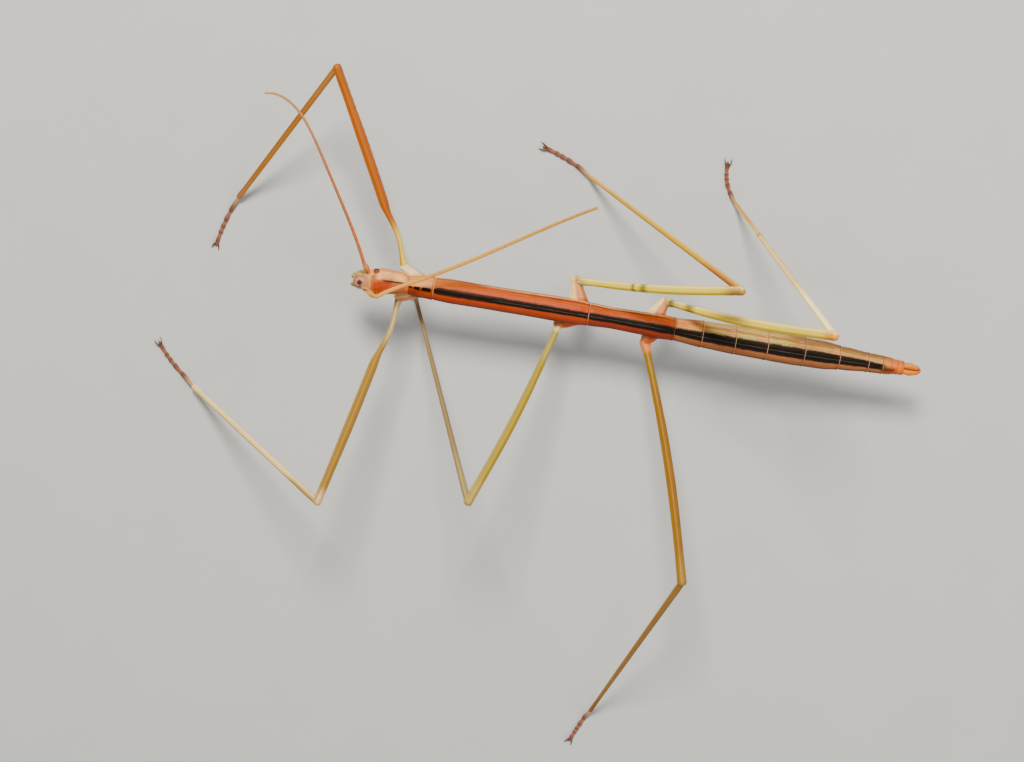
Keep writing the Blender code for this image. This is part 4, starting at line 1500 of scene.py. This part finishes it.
@dataclass
class Leg:
    """One leg from the hip to the claws."""

    side: Side
    pair: Pair
    shape: LegShape
    pose: LegPose
    dress: LegDress
    coxa_half_length: float = 3.2 * MM
    coxa_half_angle: float = 38
    coxa_angle: float = -24
    coxa_cap: float = 0.30
    coxa_sink: float = 0.35 * MM
    coxa_pleats: int = 7
    hip_radius: float = 1.58 * MM
    hip_reach: float = 1.75 * MM
    base_bow_share: float = 0.32
    fullness: float = 1.13
    knot_rise: float = 0.24
    knot_thinning: float = 0.14
    femur_depth: float = 0.82
    shin_depth: float = 0.9
    shin_ridges: tuple[float, float] = (0.09, 0.05)
    ridge_angles: tuple[float, ...] = (90, 30, 150, 215, 325)
    ridge_width: float = 0.17
    crest_width: float = 0.22
    tooth_pace: float = 2.4
    teeth_start: float = 26
    teeth_growth: float = 14
    step: float = 0.5 * MM
    femur_cap: float = 0.9 * MM
    shin_caps: tuple[float, float] = (0.55 * MM, 0.4 * MM)
    waist_sizes: tuple[Triple, Triple] = ((2.9 * MM, 0.4 * MM, 0.07), (2.6 * MM, 0.5 * MM, 0.05))
    ankle_height: float = 2.1 * MM
    sole_height: float = 0.5 * MM
    foot_tuck: float = 0.2 * MM
    foot_joints: Curve = ((0.36, 0.72), (0.56, 0.74), (0.70, 0.72), (0.81, 0.72), (1.0, 0.66))
    foot_waist: float = 0.5
    pad: Triple = (0.62 * MM, 0.42 * MM, 0.30 * MM)
    pad_ahead: float = 0.75 * MM
    pad_drop: float = 0.12 * MM
    claw_length: float = 2.576 * MM
    claw_spread: float = 0.902 * MM
    claw_root: tuple[float, float] = (-0.15 * MM, 0.22 * MM)
    claw_lift: float = 0.05 * MM
    claw_radius: float = 0.34 * MM
    claw_arch: float = 0.42 * MM
    sides: int = 36
    word: str = field(init=False)

    def __post_init__(self) -> None:
        """Work out the joints."""
        self.word = "%s_%s" % (self.side.word, self.pair.value)
        station, out, up = (v * MM for v in self.pose.hip)
        femur, tibia = self.shape.femur * MM, self.shape.tibia * MM
        self.hip = BODY.axis(station) + np.array((0, self.side.value * out, up))
        self.knee = self.hip + direction(self.pose.femur_heading, self.pose.femur_rise) * femur
        fall = -degrees(asin((self.knee[2] - self.ankle_height) / tibia))
        self.ankle = self.knee + direction(self.pose.tibia_heading, fall) * tibia

    def ridge(self, angles: np.ndarray, crest: float, width: float) -> np.ndarray:
        """How near angles round a limb are to a ridge at some degrees."""
        return bell(np.angle(np.exp(1j * (angles - radians(crest)))), width)

    def ridges(self, strength: float, teeth: float, way: np.ndarray, angles: np.ndarray) -> np.ndarray:
        """Lengthwise ridges round a limb, with small teeth on the lower ones.

        Args:
            strength: Height of the ridges as a share of the radius.
            teeth: Height of the teeth, the same.
            way: Distance along the limb, in mm.
            angles: Angles round it.

        Returns:
            Share added to the radius.
        """
        total = no_relief(way, angles) - strength * 0.2
        for crest in self.ridge_angles:
            near = self.ridge(angles, crest, self.ridge_width)
            total = total + strength * near
            if crest > 180:
                row = np.clip(np.sin(way * self.tooth_pace + radians(crest)), 0, 1) ** 5
                total = total + teeth * near * row * smooth((way - self.teeth_start) / self.teeth_growth)
        return total

    def joint_skin(self, part: str, centres: np.ndarray, widths: np.ndarray, depth: float, caps: np.ndarray,
                   relief: Relief) -> None:
        """Make the skin of a femur or tibia.

        Args:
            part: Which of the two.
            centres: Points of its axis.
            widths: Width at each of them, in mm.
            depth: Depth as a share of the width.
            caps: Share of the full width left at each of them by the round ends.
            relief: Its ridges.
        """
        half = self.fullness * widths / 2 * MM * caps
        near = sum(self.ridge(ring_angles(self.sides), crest, self.crest_width) for crest in self.ridge_angles)
        draft = Draft("%s_%s_skin" % (part, self.word))
        limb_loft(draft, centres, half, depth * half, self.sides, relief, crest=(2 * near - 1) * caps[:, None] ** 2)
        draft.build(getattr(self.dress, part).dress(), part + "_cuticle", "%s_%s" % (part, self.word))

    def build_coxa(self) -> None:
        """The cone from the trunk to the hip, with the small ring joint that carries the femur."""
        sign, root_station = self.side.value, (self.shape.station + self.shape.root_shift) * MM
        angles = ring_angles(48)
        c, s = np.cos(angles), np.sin(angles)

        def sunk(ahead: float, above: float, depth: float) -> np.ndarray:
            """Point under the trunk's skin, from the middle of the coxa's root; the turn in degrees."""
            angle = radians(self.coxa_angle + above)
            return BODY.skin(root_station + ahead, angle if sign > 0 else pi - angle, -depth)

        hub = sunk(0.0, 0.0, GAP)
        root = np.array([sunk(self.coxa_half_length * a, self.coxa_half_angle * b, self.coxa_sink)
                         for a, b in zip(c, s)])
        normal = unit(0.25 * np.array((0.0, sign, 0.0)) + 0.75 * unit(self.hip - hub))
        fore = unit(np.array((1.0, 0, 0)) - normal * normal[0])
        over = np.array((0, 0, 1.0)) - normal * normal[2]
        over = unit(over - fore * over.dot(fore))
        end = self.hip + (fore[None] * c[:, None] + over[None] * s[:, None]) * self.hip_radius
        past = self.coxa_cap * np.sin(np.linspace(0.15, 1, 8) * pi / 2)
        ways, rings = np.concatenate([np.linspace(0, 1, 34), 1 + past]), []
        for t in ways:
            held = min(t, 1.0)
            taper = 1 - (1 - held) ** 1.5
            swell = 1 + 0.08 * bell(held - 0.6, 0.25) - 0.05 * bell(held - 0.88, 0.04)
            cap = max(1 - max((t - 1) / self.coxa_cap, 0) ** 2, 0.004) ** 0.5
            offset = (root - hub) * (1 - taper) + (end - self.hip) * taper
            pleat = 1 + 0.035 * np.sin(angles * self.coxa_pleats) * bell(held - 0.35, 0.4)
            rings.append(hub + (self.hip - hub) * t + offset * swell * cap * pleat[:, None])
        draft = Draft("coxa_%s_skin" % self.word)
        way = ways[:, None]
        share = way / (1 + self.coxa_cap)
        draft.loft(np.array(rings), way=way * np.linalg.norm(self.hip - hub) / MM, share=share, out=c, over=s,
                   crest=0.8 * np.sin(angles * self.coxa_pleats) * np.clip((1.12 - share) / 0.4, 0, 1))
        draft.build(self.dress.coxa.dress(), "coxa_cuticle", "coxa_" + self.word)

    def build_femur(self) -> None:
        """Trochanter and thigh, with a rounded knee."""
        shape, along, length = self.shape, unit(self.knee - self.hip), self.shape.femur * MM
        backward = self.side.value * unit(np.cross((0, 0, 1.0), along))
        stations, caps = round_ends(length, self.step, self.femur_cap, 0.85 * shape.femur_widths[-1] / 2 * MM)
        t = stations / length
        first = self.hip_reach / length
        ways = np.linspace(0, 1, 120)
        pairs = sorted(zip(shape.ways, shape.femur_widths), reverse=True)
        widths = np.interp(np.clip((t - first) / (1 - first), 0, 1), ways, [read_curve(pairs, w) for w in ways])
        # the swollen ring joint at the hip, a waist past it and another before the knee
        swell, reach = self.pose.swell
        (hip_place, hip_width, hip_share), (knee_place, knee_width, knee_share) = self.waist_sizes
        widths = widths * (1 + swell * bell(stations - 0.3 * MM, reach * MM)
                           - hip_share * bell(stations - hip_place, hip_width))
        widths = widths * (1 - knee_share * bell(stations - (length - knee_place), knee_width))
        bow = (shape.bow * np.sin(pi * np.clip(t, 0, 1))
               + shape.base_bow * np.sin(pi * np.clip(t / self.base_bow_share, 0, 1)) ** 2) * MM

        def relief(way: np.ndarray, angles: np.ndarray) -> np.ndarray:
            """The ridges, faded at the hip and at the knee."""
            fade = smooth((way - 4) / 12) * (1 - 0.6 * smooth((way - (shape.femur - 4)) / 3))
            return self.ridges(shape.ridges, shape.ridges * 0.8, way, angles) * fade

        centres = self.hip + stations[:, None] * along + bow[:, None] * backward
        self.joint_skin("femur", centres, widths, self.femur_depth, caps, relief)

    def build_tibia(self) -> None:
        """Slender shin."""
        along, length = unit(self.ankle - self.knee), self.shape.tibia * MM
        top, middle, low = self.shape.tibia_widths
        stations, caps = round_ends(length, self.step, *self.shin_caps)
        t = np.clip(stations / length, 0, 1)
        widths = np.interp(t, (0, 0.012, 0.05, 0.3, 0.6, 0.93, 0.985, 1.0),
                           (0.8 * top, 0.98 * top, top, 0.55 * middle + 0.45 * top, middle, low, 1.14 * low, low))
        if self.pose.knot is not None:
            widths = widths * (1 + self.knot_rise * bell(t - self.pose.knot, 0.008)) * (
                1 - self.knot_thinning * smooth((t - self.pose.knot) / 0.02))
        self.joint_skin("tibia", self.knee + stations[:, None] * along, widths, self.shin_depth, caps,
                        partial(self.ridges, *self.shin_ridges))

    def foot_point(self, share: float, steps: int = 24) -> np.ndarray:
        """Point of the foot's axis.

        Args:
            share: Share of the foot's length from the ankle.
            steps: Steps in which its curve is followed.

        Returns:
            The point, in the frame.
        """
        pose, drop = self.pose, float(smooth(share / 0.3))
        aims = [direction(pose.tarsus_heading + pose.tarsus_turn * share * (k + 0.5) / steps, 0)
                for k in range(steps)]
        point = self.ankle + sum(aims) * (self.shape.tarsus * MM * share / steps)
        point[2] = self.ankle[2] * (1 - drop) + self.sole_height * drop
        return point

    def build_foot(self) -> None:
        """Five foot joints on small flat soles, with the pad between the claws."""
        start = -self.foot_tuck / (self.shape.tarsus * MM)
        ends, sizes = zip(*self.foot_joints)
        shares = np.linspace(start, 1.0, 150)
        index = np.searchsorted(ends, shares)
        begins = np.array((start, *ends[:-1]))[index]
        joint = (shares - begins) / (np.array(ends)[index] - begins)
        half = self.foot_waist + (np.array(sizes)[index] - self.foot_waist) * smooth(joint / 0.7)
        half = (half - 0.16 * bell(joint - 1, 0.05)) * MM
        half = half * np.sqrt(np.clip(1 - np.clip((shares - 0.985) / 0.015, 0, 1) ** 2, 0.02, 1))
        half = half * np.sqrt(np.clip((shares - start) / 0.02, 0.02, 1))
        draft = Draft("tarsus_%s_skin" % self.word)
        limb_loft(draft, np.array([self.foot_point(s) for s in shares]), half, 0.95 * half, 28,
                  lambda w, a: 0.03 * np.cos(a * 2) + 0.02 * np.sin(w * 5) * np.sin(a * 5), joint=joint[:, None])
        toe = self.foot_point(1.0)
        along = unit(toe - self.foot_point(0.98))
        t = np.linspace(-0.99, 0.99, 16)
        long, wide, deep = self.pad
        middle, body = toe + along * self.pad_ahead - np.array((0, 0, self.pad_drop)), np.sqrt(1 - t ** 2)
        limb_loft(draft, middle + t[:, None] * along * long, wide * body, deep * body, 20, joint=0.5)
        draft.stand()
        draft.build(self.dress.foot.dress(), "foot_cuticle", "tarsus_" + self.word)

    def build_claws(self) -> None:
        """Two hooked claws."""
        toe = self.foot_point(1.0)
        along = unit(toe - self.foot_point(0.98))
        across = np.array((-along[1], along[0], 0.0))
        draft = Draft("claws_%s_horn" % self.word)
        t = np.linspace(0, 1, 34)
        radius = self.claw_radius * (1 - 0.86 * t ** 1.3) * np.sqrt(np.clip(t / 0.08, 0.05, 1))
        ahead = self.claw_root[0] + self.claw_length * t ** 1.25
        aside = self.claw_root[1] + self.claw_spread * np.sin(pi / 2 * t)
        for sign in (1, -1):
            line = toe + along * ahead[:, None] + across * (sign * aside)[:, None]
            line[:, 2] = self.sole_height + self.claw_lift + self.claw_arch * (np.sin(pi * t ** 0.8) - t ** 2)
            limb_loft(draft, line, radius, radius * 1.1, 16)
        draft.stand()
        draft.build(self.dress.horn.dress(), "claw", "claws_" + self.word)

    def build(self) -> None:
        """Make all joints of the leg."""
        for part in (self.build_coxa, self.build_femur, self.build_tibia, self.build_foot, self.build_claws):
            part()


# --- stage ------------------------------------------------------------------------------------
@dataclass
class Stage:
    """Pale floor, soft lights and the camera."""

    floor_half: float = 3.0
    paper: tuple[Triple, Triple] = ((224, 223, 220), (231, 230, 227))
    # name, place in metres, width, power in watts and colour
    lamps: tuple[tuple[str, Triple, float, float, Triple], ...] = (
        ("key_light", (0.15, -0.80, 0.95), 0.32, 36.0, (1.0, 0.955, 0.89)),
        ("fill_light", (-0.3, 1.1, 0.9), 1.2, 10.0, (0.93, 0.96, 1.0)),
        ("back_light", (-1.1, -0.2, 0.7), 0.8, 9.0, (1.0, 0.98, 0.95)))
    aim: Triple = (0, 0, 0.02)
    surround: float = 0.34
    camera_place: Triple = (13.17, -182.21, 750.87)
    tilt: float = 15.93
    roll: float = 9.6
    lens: float = 85.0
    sensor: float = 36.0

    def floor(self) -> None:
        """A large pale sheet of paper."""
        b = Bench("studio_paper")
        mottle = b.noise(0.02, None, 4.0)
        base, spots = self.paper
        material = b.finish(Paint(b, base).coats((spots, mottle)), 0.85, mottle, 0.05 * MM)
        sheet = bmesh.new()
        bmesh.ops.create_grid(sheet, x_segments=12, y_segments=12, size=self.floor_half)
        mesh = bpy.data.meshes.new("studio_floor")
        sheet.to_mesh(mesh)
        sheet.free()
        mesh.materials.append(material)
        floor = bpy.data.objects.new("studio_floor", mesh)
        bpy.context.scene.collection.objects.link(floor)

    def lights(self) -> None:
        """Key from the insect's right, fill from its left, one from behind, and an even surround."""
        for name, place, size, power, colour in self.lamps:
            data = bpy.data.lights.new(name, "AREA")
            data.shape, data.size, data.energy, data.color = "DISK", size, power, colour
            light = bpy.data.objects.new(name, data)
            light.location = place
            light.rotation_euler = (Vector(self.aim) - Vector(place)).to_track_quat("-Z", "Y").to_euler()
            bpy.context.scene.collection.objects.link(light)
        world = bpy.data.worlds.new("studio_surround")
        world.use_nodes = True
        ground = world.node_tree.nodes["Background"]
        ground.inputs[0].default_value = (1.0, 1.0, 1.0, 1.0)
        ground.inputs[1].default_value = self.surround
        bpy.context.scene.world = world

    def camera(self) -> None:
        """Camera above the insect's right side."""
        tilt, roll = radians(self.tilt), radians(self.roll)
        back = Vector((0, -sin(tilt), cos(tilt)))
        right = Vector((-cos(roll), -sin(roll) * cos(tilt), -sin(roll) * sin(tilt)))
        data = bpy.data.cameras.new("camera")
        data.lens, data.sensor_width = self.lens, self.sensor
        data.clip_start, data.clip_end = 0.02, 20.0
        camera = bpy.data.objects.new("camera", data)
        place = Vector(v * MM for v in self.camera_place) + Vector(ORIGIN)
        turn = Matrix((right, back.cross(right), back)).transposed().to_4x4()
        camera.matrix_world = Matrix.Translation(place) @ turn
        bpy.context.scene.collection.objects.link(camera)
        bpy.context.scene.camera = camera

    def build(self) -> None:
        """Set the stage."""
        self.floor()
        self.lights()
        self.camera()


# --- the whole insect -------------------------------------------------------------------------
COURSES = {
    Side.RIGHT: FeelerCourse(73.9 * MM, -61, 32, 0.9 * MM, -73.7, 36.8, -38.4, 92, 0, 38, -22, 0.54 * MM, 0.34 * MM),
    Side.LEFT: FeelerCourse(78.0 * MM, 175, 40, 1.1 * MM, -155.9, 38.5, -30.1, 0, 19, 14, 0, 0.64 * MM, 0.42 * MM),
}
FEELER_FINISHES = {
    Side.RIGHT: FeelerFinish("feeler_right_finish", (236, 138, 64), (206, 132, 76), (200, 152, 100)),
    Side.LEFT: FeelerFinish("feeler_left_finish", (246, 188, 116), (236, 180, 92), (210, 160, 72)),
}
SHAPES = {
    Pair.FRONT: LegShape(46.2, 68.7, 68.7, 17.2, (1.5, 1.45, 1.7, 2.6, 2.7, 2.35, 2.45), (1.75, 1.65, 1.55),
                         1.0, 0.3, 0.14, 0.9, (0.0, 0.12, 0.24, 0.32, 0.6, 0.88, 0.97)),
    Pair.MID: LegShape(-3.6, 67.0, 80.4, 16.4, (1.6, 1.8, 2.05, 2.25, 2.4, 2.35, 2.5), (1.85, 1.35, 1.05),
                       0.0, 1.1, 0.08, 0.3),
    Pair.HIND: LegShape(-30.2, 75.7, 83.6, 12.6, (1.7, 2.0, 2.25, 2.5, 2.6, 2.5, 2.7), (1.9, 1.45, 1.15),
                        0.0, 1.4, 0.09, 3.0),
}
POSES = {
    (Side.RIGHT, Pair.FRONT): LegPose((51.8, 4.5, -3.0), -65.1, 13.3, 61.4, 64.0, 16.0, (0.55, 2.6)),
    (Side.LEFT, Pair.FRONT): LegPose((52.0, 5.2, -3.0), 77.1, 22.7, -17.9, -33.0, -20.0, (0.45, 2.4)),
    (Side.RIGHT, Pair.MID): LegPose((-1.2, 9.0, -3.0), -161.3, 42.0, -15.7, -31.0, 16.0, (0.62, 4.2)),
    (Side.LEFT, Pair.MID): LegPose((1.7, 5.6, -3.2), 69.0, 39.7, -57.9, -13.4, 16.0, (0.55, 3.2)),
    (Side.RIGHT, Pair.HIND): LegPose((-29.6, 7.4, -3.0), -164.9, 50.9, -32.3, -44.0, -46.0, (0.55, 3.2), 0.74),
    (Side.LEFT, Pair.HIND): LegPose((-25.7, 6.5, -3.0), 109.3, 22.3, 75.1, 66.0, 4.0, (0.80, 3.6)),
}
CREAM_COXA = LimbFinish("coxa_right_front", (246, 206, 166), (256, 232, 190), (250, 224, 168), (290, 266, 216),
                        pale_share=0.9)
PEACH_COXA = LimbFinish("coxa_right", (214, 118, 66), (228, 162, 118), (250, 208, 146), (296, 262, 200),
                        base_reach=0.14, end_reach=0.2, pale_share=1.0)
ORANGE_COXA = LimbFinish("coxa_left", (200, 82, 36), (212, 104, 56), (246, 186, 142), (244, 180, 134),
                         end_reach=0.42)
DRESSES = {
    (Side.RIGHT, Pair.FRONT): LegDress(
        CREAM_COXA,
        LimbFinish("femur_right_front", (262, 238, 142), (199, 120, 8), (190, 120, 50), (216, 134, 30), -1),
        LimbFinish("tibia_right_front", (206, 146, 90), (200, 140, 76), (200, 144, 98), (220, 164, 100), -1)),
    (Side.LEFT, Pair.FRONT): LegDress(
        PEACH_COXA,
        LimbFinish("femur_left_front", (210, 190, 146), (170, 134, 72), (232, 208, 158), (192, 162, 100),
                   end_reach=0.07),
        LimbFinish("tibia_left_front", (212, 178, 118), (276, 244, 180), (272, 236, 176), (288, 264, 210))),
    (Side.RIGHT, Pair.MID): LegDress(
        PEACH_COXA,
        LimbFinish("femur_right_mid", (216, 206, 140), (272, 246, 118), (196, 156, 98), (300, 280, 212), -1,
                   (244, 196, 132), 3.2, 0.42, 0.08, 0.10, ((0.37, 0.02), (0.43, 0.035))),
        LimbFinish("tibia_right_mid", (204, 142, 84), (230, 190, 92), (246, 194, 104), (262, 222, 130))),
    (Side.LEFT, Pair.MID): LegDress(
        ORANGE_COXA,
        LimbFinish("femur_left_mid", (190, 178, 112), (182, 158, 76), (200, 172, 112), (200, 184, 124), 1,
                   (258, 218, 176), 3.8),
        LimbFinish("tibia_left_mid", (188, 170, 124), (168, 146, 110), (154, 128, 98), (184, 162, 126), -1)),
    (Side.RIGHT, Pair.HIND): LegDress(
        PEACH_COXA,
        LimbFinish("femur_right_hind", (226, 214, 142), (280, 250, 100), (262, 186, 98), (300, 282, 216), -1,
                   (240, 190, 138), 2.8, 0.42, 0.10, 0.06, ((0.06, 0.03), (0.17, 0.05))),
        LimbFinish("tibia_right_hind", (316, 300, 240), (276, 246, 184), (238, 186, 112), (314, 292, 232), -1,
                   base_reach=0.3, end_reach=0.24, bands=((0.74, 0.012),), band_colour=(170, 112, 62))),
    (Side.LEFT, Pair.HIND): LegDress(
        ORANGE_COXA,
        LimbFinish("femur_left_hind", (166, 136, 62), (162, 120, 48), (176, 140, 84), (182, 142, 72), 1,
                   (240, 158, 108), 4.4),
        LimbFinish("tibia_left_hind", (178, 140, 82), (176, 134, 82), (152, 110, 66), (194, 154, 98))),
}


def main() -> None:
    """Build every piece in order."""
    logging.basicConfig(level=logging.INFO, format="%(name)s: %(message)s")
    for part in (Trunk(), TailEnd(), HeadShell(), Eyes(), Mouth()):
        part.build()
    for side in Side:
        Feeler(side, COURSES[side], FEELER_FINISHES[side]).build()
    for (side, pair), pose in POSES.items():
        Leg(side, pair, SHAPES[pair], pose, DRESSES[side, pair]).build()
    Stage().build()


if __name__ == "__main__":
    main()
